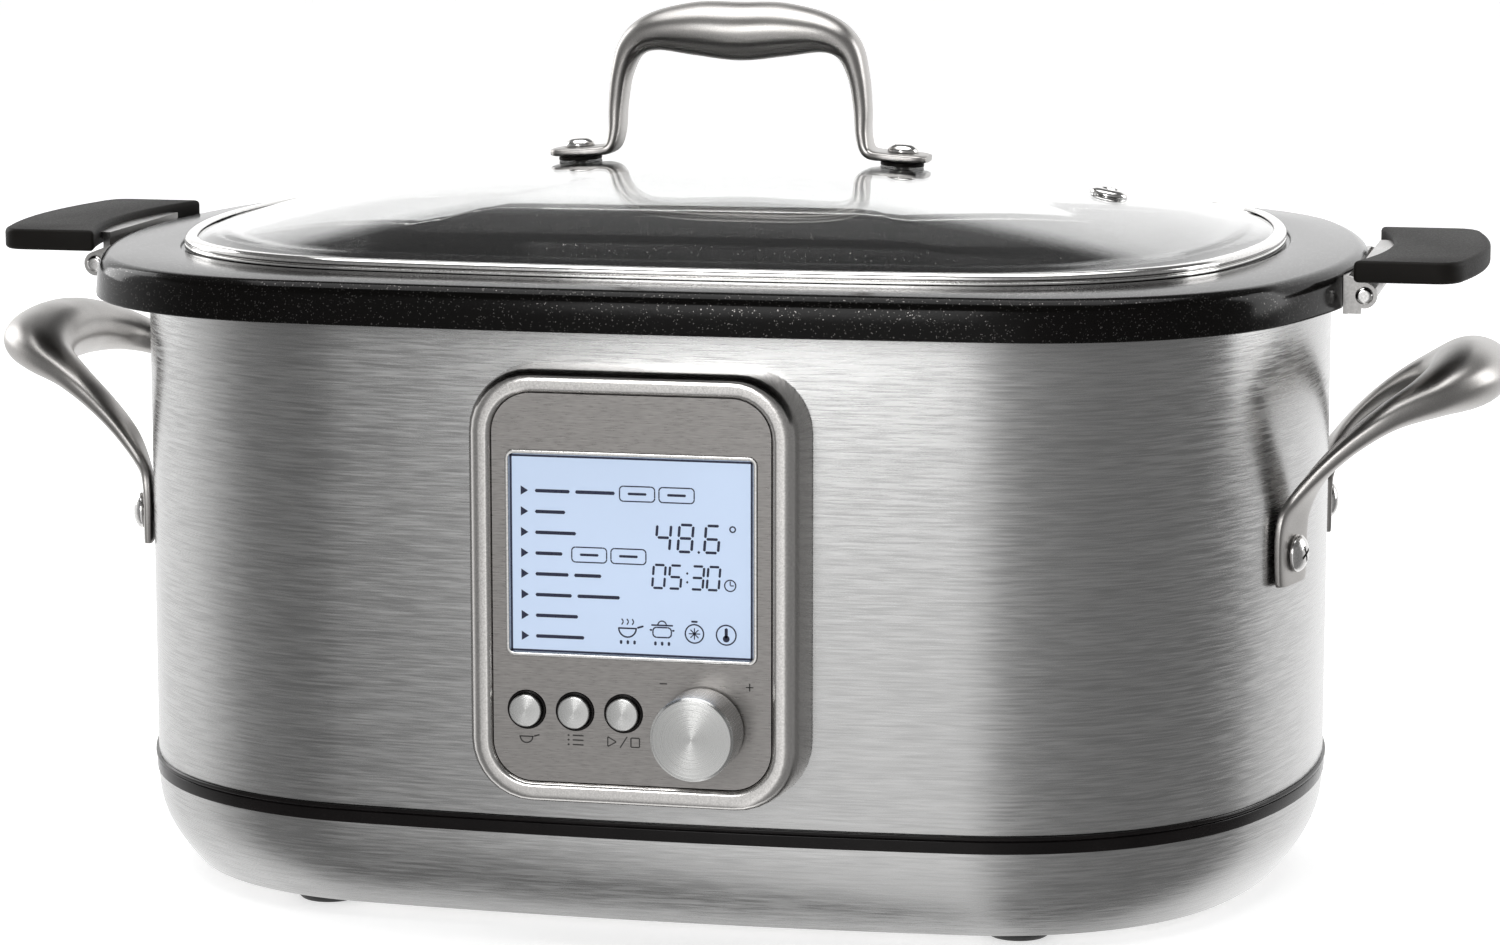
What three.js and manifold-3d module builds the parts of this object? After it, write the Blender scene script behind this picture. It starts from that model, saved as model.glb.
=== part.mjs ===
// A slow cooker: brushed steel housing on a black band and steel base, a removable cooking pot with
// folding grips, a glass lid, two steel side handles and a raised control panel on the front.
// Millimetres, +Z up, front towards -Y. The origin is under the middle of the whole object.
import * as THREE from 'three';
import { mergeVertices } from 'three/addons/utils/BufferGeometryUtils.js';
import Module from 'manifold-3d';

const wasm = await Module();
wasm.setup();

// ---------------------------------------------------------------- driving dimensions

// A plan outline is a front and back arc and two end arcs, joined by four corner arcs.
const BODY = { halfWidth: 204, halfDepth: 143, frontRadius: 1240, sideRadius: 198, cornerRadius: 101 };
const RIM = { halfWidth: 217.3, halfDepth: 166.5, frontRadius: 1603, sideRadius: 288, cornerRadius: 95 };
const LID = { halfWidth: 188, halfDepth: 141, frontRadius: 1100, sideRadius: 250, cornerRadius: 88 };
const SIDE_STEPS = 3;
const CORNER_STEPS = 5;
const FRONT_STEPS = 3;

const FIT_GAP = 0.3;

const FOOT_HEIGHT = 3;
const BAND_BOTTOM = 33.1;
const BAND_TOP = 38.9;
const BAND_PROUD = 1;
const BASE_TAPER = 12.8;
const SHEET = 1.2;

const SHELL_TOP = 204.7;
const WELL_FLANGE = 1.5;
const WELL_INSET = 14;
const WELL_FLOOR = 52;
const PLATE_TOP = 66;

const RIM_BOTTOM = 200.6;
const RIM_TOP = 214;
const SKIRT_WALL = 6;
const POT_SEAT = SHELL_TOP + WELL_FLANGE;
const POT_WALL_INSET = 20;
const POT_WALL = 2.5;
const LID_SEAT = 213.9;

const DOME_EDGE = 217.9;
const DOME_RISE = 23.4;
const DOME_POWER = 2.5;
const GLASS_THICKNESS = 3.5;
const LID_RIVET_X = 57;
const VENT_X = 128.5;

const PANEL_WIDTH = 105;
const PANEL_HEIGHT = 139.5;
const PANEL_MIDDLE = 117.8;
const PANEL_CORNER = 20;
const PANEL_FRONT = 161;
const FACE_FRONT = 159.5;
const FACE_THICKNESS = 1.2;
const FRAME_WIDTH = 7;
const SCREEN_WIDTH = 79.2;
const SCREEN_HEIGHT = 63.7;
const SCREEN_MIDDLE = 129;
const BUTTON_Z = 78.3;
const BUTTON_X = [-34.4, -18.5, -2.6];
const BUTTON_RADIUS = 5.2;
const KNOB_X = 23.4;
const KNOB_Z = 74.5;
const KNOB_RADIUS = 13.5;
const KNOB_FRONT = 176.5;

const HANDLE_FOOT_Y = 55;
const HANDLE_FOOT_Z = 120;
const SCREW_HOLE_RADIUS = 2.6;

const HINGE_X = 219.5;
const HINGE_Z = 204.5;
const BRACKET_HALF = 46;
const BRACKET_X = RIM.halfWidth - 4.7;
const RIVET_Y = 20;
const RIVET_Z = HINGE_Z - 1.2;
const RIVET_RADIUS = 1.8;
const WING_TOP = 217;
const WING_THICKNESS = 7.2;
const ARM_WIDTH = 70;

const FOOT_X = 117;
const FOOT_Y = 109.5;
const FOOT_RADIUS = 11.6;

// The knob reaches further forward than the rim, so the object is moved back by half of the excess.
const CENTRE_SHIFT = (KNOB_FRONT - RIM.halfDepth) / 2;

// ---------------------------------------------------------------- materials

const steel = () => new THREE.MeshStandardMaterial({ color: 0xb9b7b4, roughness: 0.35, metalness: 1 });
const polished = () => new THREE.MeshStandardMaterial({ color: 0xd8d6d2, roughness: 0.15, metalness: 1 });
const satin = () => new THREE.MeshStandardMaterial({ color: 0x8f8b87, roughness: 0.45, metalness: 1 });
const enamel = () => new THREE.MeshStandardMaterial({ color: 0x2b2a2a, roughness: 0.3, metalness: 0.4 });
const plastic = () => new THREE.MeshStandardMaterial({ color: 0x14110f, roughness: 0.25, metalness: 0 });
const silicone = () => new THREE.MeshStandardMaterial({ color: 0x2a2725, roughness: 0.7, metalness: 0 });
const aluminium = () => new THREE.MeshStandardMaterial({ color: 0xcfcfce, roughness: 0.3, metalness: 1 });
const glass = () => new THREE.MeshStandardMaterial({ color: 0xdfe6e4, roughness: 0.05, metalness: 0 });
const screen = () => new THREE.MeshStandardMaterial({ color: 0xc6d7ee, roughness: 0.2, metalness: 0 });
const board = () => new THREE.MeshStandardMaterial({ color: 0x1f5a36, roughness: 0.6, metalness: 0 });

// ---------------------------------------------------------------- shape helpers

function arcPoints(centre, radius, from, to, steps) {
  const points = [];
  for (let i = 0; i < steps; i += 1) {
    const angle = from + ((to - from) * i) / steps;
    points.push(new THREE.Vector2(radius, 0).rotateAround(new THREE.Vector2(), angle).add(centre));
  }
  return points;
}

// The points of a plan outline, counter-clockwise from +X, moved inwards by inset.
function outline(form, inset = 0) {
  const front = new THREE.Vector2(0, form.halfDepth - form.frontRadius);
  const side = new THREE.Vector2(form.halfWidth - form.sideRadius, 0);
  const reachFront = form.frontRadius - form.cornerRadius;
  const reachSide = form.sideRadius - form.cornerRadius;
  const apart = front.distanceTo(side);
  const along = (reachFront ** 2 - reachSide ** 2 + apart ** 2) / (2 * apart);
  const across = Math.sqrt(reachFront ** 2 - along ** 2);
  const unit = side.clone().sub(front).normalize();
  const corner = front.clone().addScaledVector(unit, along);
  corner.addScaledVector(new THREE.Vector2(unit.y, -unit.x), across);
  const sideAngle = corner.clone().sub(side).angle();
  const frontAngle = corner.clone().sub(front).angle();
  const quarter = [
    ...arcPoints(side, form.sideRadius - inset, 0, sideAngle, SIDE_STEPS),
    ...arcPoints(corner, form.cornerRadius - inset, sideAngle, frontAngle, CORNER_STEPS),
    ...arcPoints(front, form.frontRadius - inset, frontAngle, Math.PI / 2, FRONT_STEPS),
  ];
  const middle = new THREE.Vector2(0, form.halfDepth - inset);
  const leftQuarter = quarter.map((p) => new THREE.Vector2(-p.x, p.y)).reverse();
  const upper = [...quarter, middle, ...leftQuarter];
  const lower = upper.slice(1, -1).map((p) => new THREE.Vector2(p.x, -p.y)).reverse();
  return [...upper, ...lower];
}

// Joins rings of equal length into one closed surface. A looped list closes on itself, and an open
// one is capped at both ends.
function loft(rings, looped) {
  const count = rings[0].length;
  const vertices = rings.flat();
  const index = [];
  const bands = looped ? rings.length : rings.length - 1;
  for (let r = 0; r < bands; r += 1) {
    const here = r * count;
    const there = ((r + 1) % rings.length) * count;
    for (let i = 0; i < count; i += 1) {
      const next = (i + 1) % count;
      index.push(here + i, here + next, there + next);
      index.push(here + i, there + next, there + i);
    }
  }
  if (!looped) {
    const last = (rings.length - 1) * count;
    const middleOf = (ring) => {
      const sum = new THREE.Vector3();
      ring.forEach((p) => sum.add(p));
      return sum.divideScalar(count);
    };
    const first = vertices.push(middleOf(rings[0]), middleOf(rings.at(-1))) - 2;
    for (let i = 0; i < count; i += 1) {
      const next = (i + 1) % count;
      index.push(first, next, i);
      index.push(first + 1, last + i, last + next);
    }
  }
  const geometry = new THREE.BufferGeometry().setFromPoints(vertices);
  geometry.setIndex(index);
  geometry.computeVertexNormals();
  return geometry;
}

// A profile is a list of [outline form, inset, height], from the outside up to the inside down.
function loftProfile(profile, looped) {
  const level = ([form, inset, z]) => outline(form, inset).map((p) => new THREE.Vector3(p.x, p.y, z));
  return loft(profile.map(level), looped);
}

// A bar of oval section along stations { at, up, halfAcross, halfUp }, smoothed between them.
function sweepBar(stations, sides, pieces) {
  const path = new THREE.CatmullRomCurve3(stations.map((s) => s.at), false, 'centripetal');
  const ups = new THREE.CatmullRomCurve3(stations.map((s) => s.up));
  const sizes = stations.map((s) => new THREE.Vector3(s.halfAcross, s.halfUp, 0));
  const halves = new THREE.CatmullRomCurve3(sizes);
  const steps = (stations.length - 1) * pieces;
  const rings = [];
  for (let i = 0; i <= steps; i += 1) {
    const t = i / steps;
    const tangent = path.getTangent(t);
    const across = ups.getPoint(t).cross(tangent).normalize();
    const up = tangent.clone().cross(across);
    const half = halves.getPoint(t);
    const ring = [];
    for (let k = 0; k < sides; k += 1) {
      const angle = ((k + 0.5) * 2 * Math.PI) / sides;
      const point = path.getPoint(t).addScaledVector(across, Math.cos(angle) * half.x);
      ring.push(point.addScaledVector(up, Math.sin(angle) * half.y));
    }
    rings.push(ring);
  }
  return loft(rings, false);
}

// The points of a rectangle with round corners, counter-clockwise.
function roundedRectangle(width, height, radius) {
  const x = width / 2 - radius;
  const y = height / 2 - radius;
  const corners = [[x, y], [-x, y], [-x, -y], [x, -y]];
  return corners.flatMap(([cx, cy], turns) => {
    const start = (turns * Math.PI) / 2;
    const step = Math.PI / 2 / (CORNER_STEPS - 1);
    return arcPoints(new THREE.Vector2(cx, cy), radius, start, start + CORNER_STEPS * step, CORNER_STEPS);
  });
}

function extrude(shape, from, to) {
  const geometry = new THREE.ExtrudeGeometry(shape, { depth: to - from, bevelEnabled: false });
  return geometry.translate(0, 0, from);
}

// A turned solid about +Z from a closed profile of [radius, height], listed up the outside first.
function turn(profile, segments = 16) {
  const points = profile.map(([radius, height]) => new THREE.Vector2(radius, height));
  if (points[0].x > 0) {
    points.push(points[0].clone());
  }
  return new THREE.LatheGeometry(points, segments).rotateX(Math.PI / 2);
}

// A plain rod about +Z between two heights.
function rod(radius, from, to, segments = 12) {
  const geometry = new THREE.CylinderGeometry(radius, radius, to - from, segments);
  return geometry.rotateX(Math.PI / 2).translate(0, 0, (from + to) / 2);
}

const alongX = (geometry) => geometry.rotateY(Math.PI / 2);
const alongY = (geometry) => geometry.rotateX(-Math.PI / 2);

function solidOf(geometry) {
  const bare = new THREE.BufferGeometry();
  bare.setAttribute('position', geometry.getAttribute('position'));
  bare.setIndex(geometry.index);
  const merged = mergeVertices(bare, 1e-4);
  const vertProperties = new Float32Array(merged.getAttribute('position').array);
  const triVerts = new Uint32Array(merged.index.array);
  return new wasm.Manifold(new wasm.Mesh({ numProp: 3, vertProperties, triVerts }));
}

function geometryOf(solid) {
  const { vertProperties, triVerts } = solid.getMesh();
  const geometry = new THREE.BufferGeometry();
  geometry.setAttribute('position', new THREE.BufferAttribute(new Float32Array(vertProperties), 3));
  geometry.setIndex(new THREE.BufferAttribute(new Uint32Array(triVerts), 1));
  geometry.computeVertexNormals();
  return geometry;
}

function cut(geometry, ...tools) {
  return geometryOf(tools.reduce((solid, tool) => solid.subtract(solidOf(tool)), solidOf(geometry)));
}

function join(geometry, ...more) {
  return geometryOf(more.reduce((solid, other) => solid.add(solidOf(other)), solidOf(geometry)));
}

function piece(parent, name, geometry, material) {
  const mesh = new THREE.Mesh(geometry, material);
  mesh.name = name;
  parent.add(mesh);
  return mesh;
}

// ---------------------------------------------------------------- frame of the object

const slowCooker = new THREE.Group();
slowCooker.position.y = CENTRE_SHIFT;

// The right side as built and the left side as its mirror image.
const right = new THREE.Group();
const left = new THREE.Group();
left.scale.x = -1;
slowCooker.add(right, left);
const SIDES = [[right, 'right'], [left, 'left']];
const ENDS = [[-1, 'front'], [1, 'rear']];

// The panel's own frame: x to the right, y up and z towards the front.
const panel = new THREE.Group();
panel.rotation.x = Math.PI / 2;
slowCooker.add(panel);

// Where a side handle's screw stands on the curved end of the body, and how far it is turned there.
const footTurn = Math.asin(HANDLE_FOOT_Y / BODY.sideRadius);
const footX = BODY.halfWidth - BODY.sideRadius * (1 - Math.cos(footTurn));

// The cord gland stands in the gently curved back.
const GLAND_X = 90;
const GLAND_Y = BODY.halfDepth - GLAND_X ** 2 / 2 / BODY.frontRadius;
const GLAND_Z = 49;
const GLAND_RADIUS = 6.5;

// ---------------------------------------------------------------- housing

function handleScrewHole(sideSign, frontSign) {
  const hole = alongX(rod(SCREW_HOLE_RADIUS, -12, 12));
  hole.rotateZ(frontSign * footTurn);
  hole.translate(footX, frontSign * HANDLE_FOOT_Y, HANDLE_FOOT_Z);
  return sideSign > 0 ? hole : hole.rotateZ(Math.PI);
}

function buildHousing() {
  const wrap = loftProfile([
    [BODY, 0, BAND_TOP],
    [BODY, 0, SHELL_TOP],
    [BODY, SHEET, SHELL_TOP],
    [BODY, SHEET, BAND_TOP],
  ], true);
  const wiring = new THREE.BoxGeometry(50, 20, 30).translate(0, -BODY.halfDepth, PANEL_MIDDLE);
  const glandHole = alongY(rod(GLAND_RADIUS + FIT_GAP, -12, 12));
  glandHole.translate(GLAND_X, BODY.halfDepth, GLAND_Z);
  const screwHoles = [[1, 1], [1, -1], [-1, 1], [-1, -1]].map(([s, f]) => handleScrewHole(s, f));
  piece(slowCooker, 'outer_shell', cut(wrap, wiring, glandHole, ...screwHoles), steel());

  const well = loftProfile([
    [BODY, 40, WELL_FLOOR],
    [BODY, 20, WELL_FLOOR + 2],
    [BODY, WELL_INSET, WELL_FLOOR + 10],
    [BODY, WELL_INSET, SHELL_TOP],
    [BODY, 0.3, SHELL_TOP],
    [BODY, 0.3, POT_SEAT],
    [BODY, WELL_INSET + SHEET, POT_SEAT],
    [BODY, WELL_INSET + SHEET, WELL_FLOOR + 11],
    [BODY, 21, WELL_FLOOR + 3.5],
    [BODY, 40, WELL_FLOOR + 1.5],
  ], false);
  piece(slowCooker, 'heating_well', well, satin());
}

function buildHeater() {
  const floor = WELL_FLOOR + 1.5;
  const elementTop = floor + 4.5;
  const plate = loftProfile([
    [BODY, 57, elementTop],
    [BODY, 55, elementTop + 2],
    [BODY, 55, PLATE_TOP - 1],
    [BODY, 57, PLATE_TOP],
  ], false);
  piece(slowCooker, 'heating_plate', cut(plate, rod(9, floor, PLATE_TOP + 5)), aluminium());
  const element = loftProfile([
    [BODY, 70, floor],
    [BODY, 68, floor + 2.2],
    [BODY, 70, elementTop],
    [BODY, 74, elementTop],
    [BODY, 76, floor + 2.2],
    [BODY, 74, floor],
  ], true);
  piece(slowCooker, 'heating_element', element, satin());
  const sensor = turn([[0, floor], [8, floor], [8, PLATE_TOP - 1], [7, PLATE_TOP], [0, PLATE_TOP]]);
  piece(slowCooker, 'temperature_sensor', sensor, steel());
}

function buildBase() {
  const band = loftProfile([
    [BODY, -BAND_PROUD, BAND_BOTTOM],
    [BODY, -BAND_PROUD, BAND_TOP],
    [BODY, 3, BAND_TOP],
    [BODY, 3, BAND_BOTTOM],
  ], true);
  piece(slowCooker, 'base_band', band, plastic());

  const skirtHeight = BAND_BOTTOM - FOOT_HEIGHT;
  const bulge = (t) => BASE_TAPER * (1 - Math.cos((t * Math.PI) / 2)) ** 1.25;
  const levels = [0, 0.25, 0.5, 0.7, 0.86, 1];
  const outside = levels.map((t) => [BODY, bulge(t), BAND_BOTTOM - skirtHeight * t]).reverse();
  const inside = levels.map((t) => [BODY, bulge(t) + 1.6, BAND_BOTTOM - (skirtHeight - SHEET * t) * t]);
  piece(slowCooker, 'base_skirt', loftProfile([...outside, ...inside], true), steel());

  const underside = FOOT_HEIGHT + SHEET;
  const plate = loftProfile([[BODY, 15.2, underside], [BODY, 15.2, underside + 2]], false);
  const slots = [-60, -36, -12, 12, 36, 60].map((x) => {
    return new THREE.BoxGeometry(5, 70, 20).translate(x, 0, 0);
  });
  const corners = ENDS.flatMap(([sy, end]) => [[-1, sy, `${end}_left`], [1, sy, `${end}_right`]]);
  const holes = corners.map(([sx, sy]) => rod(2.3, 0, 20, 12).translate(sx * FOOT_X, sy * FOOT_Y, 0));
  piece(slowCooker, 'bottom_plate', cut(plate, ...slots, ...holes), satin());

  corners.forEach(([sx, sy, corner]) => {
    const foot = turn([
      [5.4, 0], [9.2, 0], [11, 1.2], [FOOT_RADIUS, FOOT_HEIGHT],
      [FOOT_RADIUS, underside], [2.4, underside], [2.4, 2], [5.4, 2],
    ]);
    const screwEnd = underside + 8;
    const screw = turn([
      [0, 0.6], [4.2, 0.6], [4.8, 1.2], [4.8, 2], [2, 2], [2, screwEnd], [0, screwEnd],
    ], 12);
    piece(slowCooker, `foot_${corner}`, foot, silicone()).position.set(sx * FOOT_X, sy * FOOT_Y, 0);
    piece(slowCooker, `foot_screw_${corner}`, screw, steel()).position.set(sx * FOOT_X, sy * FOOT_Y, 0);
  });
}

function buildCordGland() {
  const gland = turn([
    [3.6, -4.6], [8.5, -4.6], [8.5, -2.6], [GLAND_RADIUS, -2.6],
    [GLAND_RADIUS, 1], [8, 1], [7, 12], [3.6, 12],
  ]);
  alongY(gland).translate(GLAND_X, GLAND_Y, GLAND_Z);
  piece(slowCooker, 'cord_gland', gland, plastic());
}

// ---------------------------------------------------------------- pot

function buildPot() {
  const vessel = loftProfile([
    [BODY, 42, PLATE_TOP],
    [BODY, 31, PLATE_TOP + 3],
    [BODY, POT_WALL_INSET + 5, PLATE_TOP + 12],
    [BODY, POT_WALL_INSET, 196],
    [BODY, POT_WALL_INSET, POT_SEAT],
    [RIM, SKIRT_WALL, POT_SEAT],
    [RIM, SKIRT_WALL, RIM_BOTTOM],
    [RIM, 0, RIM_BOTTOM],
    [RIM, 0.9, RIM_TOP - 3],
    [RIM, 2, RIM_TOP - 1],
    [RIM, 4.5, RIM_TOP],
    [LID, -1.5, RIM_TOP + 1.2],
    [LID, -1.2, LID_SEAT],
    [LID, 8, LID_SEAT],
    [BODY, POT_WALL_INSET + POT_WALL, 204],
    [BODY, POT_WALL_INSET + POT_WALL + 5, PLATE_TOP + 14],
    [BODY, 34, PLATE_TOP + 6],
    [BODY, 44, PLATE_TOP + 3.2],
  ], false);
  const recess = (sign) => {
    return new THREE.BoxGeometry(20, 104, 20).translate(sign * (RIM.halfWidth + 5.1), 0, 201.5);
  };
  const rivetHoles = [];
  for (const sign of [1, -1]) {
    for (const y of [RIVET_Y, -RIVET_Y]) {
      const hole = alongX(rod(RIVET_RADIUS + FIT_GAP, -12, 12));
      rivetHoles.push(hole.translate(sign * BRACKET_X, y, RIVET_Z));
    }
  }
  piece(slowCooker, 'cooking_pot', cut(vessel, recess(1), recess(-1), ...rivetHoles), enamel());
}

function bracketGeometry() {
  const sheet = 1.6;
  const plate = new THREE.BoxGeometry(sheet, 2 * BRACKET_HALF, 12.6);
  plate.translate(BRACKET_X + sheet / 2, 0, HINGE_Z + 0.2);
  const ear = new THREE.Shape();
  ear.moveTo(BRACKET_X, HINGE_Z - 6);
  ear.lineTo(HINGE_X - 1, HINGE_Z - 6);
  ear.absarc(HINGE_X, HINGE_Z, 4.2, -1.8, 1.2);
  ear.lineTo(BRACKET_X + 2, HINGE_Z + 6.4);
  ear.lineTo(BRACKET_X, HINGE_Z + 6.4);
  const ears = [BRACKET_HALF, sheet - BRACKET_HALF].map((y) => {
    return extrude(ear, 0, sheet).rotateX(Math.PI / 2).translate(0, y, 0);
  });
  const pinHole = alongY(rod(2.2, -60, 60)).translate(HINGE_X, 0, HINGE_Z);
  const rivetHoles = [RIVET_Y, -RIVET_Y].map((y) => {
    return alongX(rod(RIVET_RADIUS + FIT_GAP, -12, 12)).translate(BRACKET_X, y, RIVET_Z);
  });
  return cut(join(plate, ...ears), pinHole, ...rivetHoles);
}

function rivetGeometry() {
  const profile = [[0, -3.5], [RIVET_RADIUS, -3.5], [RIVET_RADIUS, 1.6], [3.4, 1.6], [2.6, 2.4], [0, 2.6]];
  return alongX(turn(profile, 12));
}

function pinGeometry() {
  const end = BRACKET_HALF + 0.3;
  return alongY(turn([
    [0, -end - 1.6], [2.6, -end - 1.2], [3, -end], [2, -end],
    [2, end], [3, end], [2.6, end + 1.2], [0, end + 1.6],
  ], 12));
}

// The wing seen from above: a concave edge along the rim, a gently convex outer edge.
function wingShape(shrink = 0) {
  const shape = new THREE.Shape();
  const halfLength = 56 - shrink;
  const inner = 216.3 + shrink;
  const outer = 251 - shrink;
  shape.moveTo(inner, -halfLength);
  shape.lineTo(outer - 8, -halfLength);
  shape.quadraticCurveTo(outer, -halfLength, outer + 1.5, -halfLength + 12);
  shape.quadraticCurveTo(outer + 11, 0, outer + 1.5, halfLength - 12);
  shape.quadraticCurveTo(outer, halfLength, outer - 8, halfLength);
  shape.lineTo(inner, halfLength);
  shape.quadraticCurveTo(inner + 17, 0, inner, -halfLength);
  return shape;
}

function gripGeometry() {
  const bottom = WING_TOP - WING_THICKNESS;
  const bevel = 1.5;
  const wing = new THREE.ExtrudeGeometry(wingShape(bevel), {
    depth: WING_THICKNESS - 2 * bevel,
    bevelThickness: bevel,
    bevelSize: bevel,
    bevelSegments: 2,
    curveSegments: 8,
  }).translate(0, 0, bottom + bevel);
  const slotWidth = ARM_WIDTH + 2 * FIT_GAP;
  const pocket = new THREE.BoxGeometry(30, slotWidth, 2 + 2 * FIT_GAP).translate(231, 0, bottom + 3.6);
  const neck = new THREE.BoxGeometry(12.6, slotWidth, 12).translate(220.4, 0, bottom - 1.4);
  return cut(wing, pocket, neck);
}

// The steel arm: a barrel round the pin, a riser and a tongue inside the grip, and a small spring tab.
function armGeometry() {
  const bottom = WING_TOP - WING_THICKNESS;
  const tongue = new THREE.BoxGeometry(27, ARM_WIDTH, 2).translate(231.5, 0, bottom + 3.6);
  const riser = new THREE.BoxGeometry(2.4, ARM_WIDTH, 9).translate(HINGE_X, 0, bottom - 0.4);
  const barrel = alongY(rod(3.6, -40, 40)).translate(HINGE_X, 0, HINGE_Z);
  const leaf = new THREE.BoxGeometry(9, 14, 1).translate(223.7, 0, bottom - 1);
  const tab = new THREE.BoxGeometry(1.6, 14, 4.6).translate(227.8, 0, bottom - 2.8);
  const bore = alongY(rod(2.2, -60, 60)).translate(HINGE_X, 0, HINGE_Z);
  return cut(join(barrel, riser, tongue, leaf, tab), bore);
}

function buildPotHandles() {
  for (const [side, word] of SIDES) {
    piece(side, `pot_bracket_${word}`, bracketGeometry(), steel());
    for (const [sign, end] of ENDS) {
      const rivet = piece(side, `bracket_rivet_${word}_${end}`, rivetGeometry(), steel());
      rivet.position.set(BRACKET_X, sign * RIVET_Y, RIVET_Z);
    }
    piece(side, `hinge_pin_${word}`, pinGeometry().translate(HINGE_X, 0, HINGE_Z), steel());
    piece(side, `pot_handle_arm_${word}`, armGeometry(), steel());
    piece(side, `pot_handle_grip_${word}`, gripGeometry(), silicone());
  }
}

// ---------------------------------------------------------------- lid

const domeHeight = (share) => DOME_EDGE + DOME_RISE * (1 - share ** DOME_POWER);
const domeEdgeX = LID.halfWidth - 6;

function domeRings(drop) {
  const edge = outline(LID, 6);
  const shares = [1, 0.94, 0.86, 0.75, 0.6, 0.42, 0.2];
  return shares.map((share) => edge.map((p) => {
    return new THREE.Vector3(p.x * share, p.y * share, domeHeight(share) - drop);
  }));
}

function buildLid() {
  const flat = (inset, z) => outline(LID, inset).map((p) => new THREE.Vector3(p.x, p.y, z));
  const glassBottom = DOME_EDGE - GLASS_THICKNESS + 0.6;
  const under = domeRings(GLASS_THICKNESS);
  under[0].forEach((p) => p.setZ(glassBottom));
  const rim = [flat(1.9, glassBottom), flat(1.9, DOME_EDGE)];
  const dome = loft([...under.reverse(), ...rim, ...domeRings(0)], false);
  const rivetHoles = [-LID_RIVET_X, LID_RIVET_X].map((x) => rod(3, 190, 260).translate(x, 0, 0));
  const ventHole = rod(5, 190, 260).translate(VENT_X, 0, 0);
  piece(slowCooker, 'lid_glass', cut(dome, ...rivetHoles, ventHole), glass());

  const channel = loftProfile([
    [LID, 1, LID_SEAT],
    [LID, 0, LID_SEAT + 0.8],
    [LID, 0, LID_SEAT + 3.8],
    [LID, 1, LID_SEAT + 5],
    [LID, 4.2, LID_SEAT + 5],
    [LID, 4.2, DOME_EDGE + 0.2],
    [LID, 1.6, DOME_EDGE + 0.2],
    [LID, 1.6, glassBottom - 0.2],
    [LID, 5, glassBottom - 0.2],
    [LID, 5, LID_SEAT],
  ], true);
  piece(slowCooker, 'lid_rim', channel, polished());
}

// Where a fitting stands on the dome at a given x, and the slope of the glass there.
function onDome(x) {
  const share = x / domeEdgeX;
  const slope = Math.atan((DOME_POWER * DOME_RISE * share ** (DOME_POWER - 1)) / domeEdgeX);
  return { z: domeHeight(share), slope };
}

function buildLidHandle() {
  const foot = onDome(LID_RIVET_X);
  const padLift = 3.1;
  const padZ = (x) => foot.z + padLift - (x - LID_RIVET_X) * Math.tan(foot.slope);
  const half = [
    [66.5, padZ(66.5), foot.slope, 7, 1.4],
    [63, padZ(63), foot.slope, 9, 1.5],
    [52, padZ(52), foot.slope, 9, 1.6],
    [45.8, padZ(45.8) + 0.8, 0.6, 8, 1.9],
    [43.7, 250, 1.5, 7.5, 2.4],
    [43.2, 260, 1.5, 7, 2.9],
    [41.6, 271, 1.42, 7.5, 3.5],
    [37.8, 280.2, 0.9, 8.5, 4.9],
    [29.5, 285, 0.25, 10, 6.8],
    [15, 286, 0.06, 11.5, 9.3],
  ];
  const station = (sign) => ([x, z, lean, halfAcross, halfUp]) => ({
    at: new THREE.Vector3(sign * x, 0, z),
    up: new THREE.Vector3(sign * Math.sin(lean), 0, Math.cos(lean)),
    halfAcross,
    halfUp,
  });
  const middle = station(1)([0, 285.3, 0, 12, 10.2]);
  const stations = [...half.map(station(-1)), middle, ...half.map(station(1)).reverse()];
  const bores = [-1, 1].map((sign) => {
    return rod(2.9, -12, 12).rotateY(sign * foot.slope).translate(sign * LID_RIVET_X, 0, foot.z + padLift);
  });
  piece(slowCooker, 'lid_handle', cut(sweepBar(stations, 10, 2), ...bores), satin());

  for (const [side, word] of SIDES) {
    const seat = new THREE.Group();
    seat.position.set(LID_RIVET_X, 0, foot.z);
    seat.rotation.y = foot.slope;
    side.add(seat);
    const washer = turn([[2.9, 0.35], [7.5, 0.35], [7.5, 1.25], [2.9, 1.25]]);
    piece(seat, `lid_washer_${word}`, washer, silicone());
    const rivet = turn([
      [0, -5.6], [5, -5.6], [5, -4.2], [2.4, -4.2], [2.4, 4.9],
      [5.4, 4.9], [5.2, 5.8], [3.6, 7], [0, 7.6],
    ]);
    piece(seat, `lid_rivet_${word}`, rivet, polished());
  }

  const vent = onDome(VENT_X);
  const seat = new THREE.Group();
  seat.position.set(VENT_X, 0, vent.z);
  seat.rotation.y = vent.slope;
  slowCooker.add(seat);
  const grommet = turn([
    [2, -5], [6.4, -5], [6.4, -4.3], [4.2, -4.3], [4.2, 0.5],
    [6.6, 0.5], [6.2, 1.6], [3.4, 2.2], [2, 1.6],
  ]);
  piece(seat, 'vent_grommet', grommet, polished());
}

// ---------------------------------------------------------------- side handles

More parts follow.
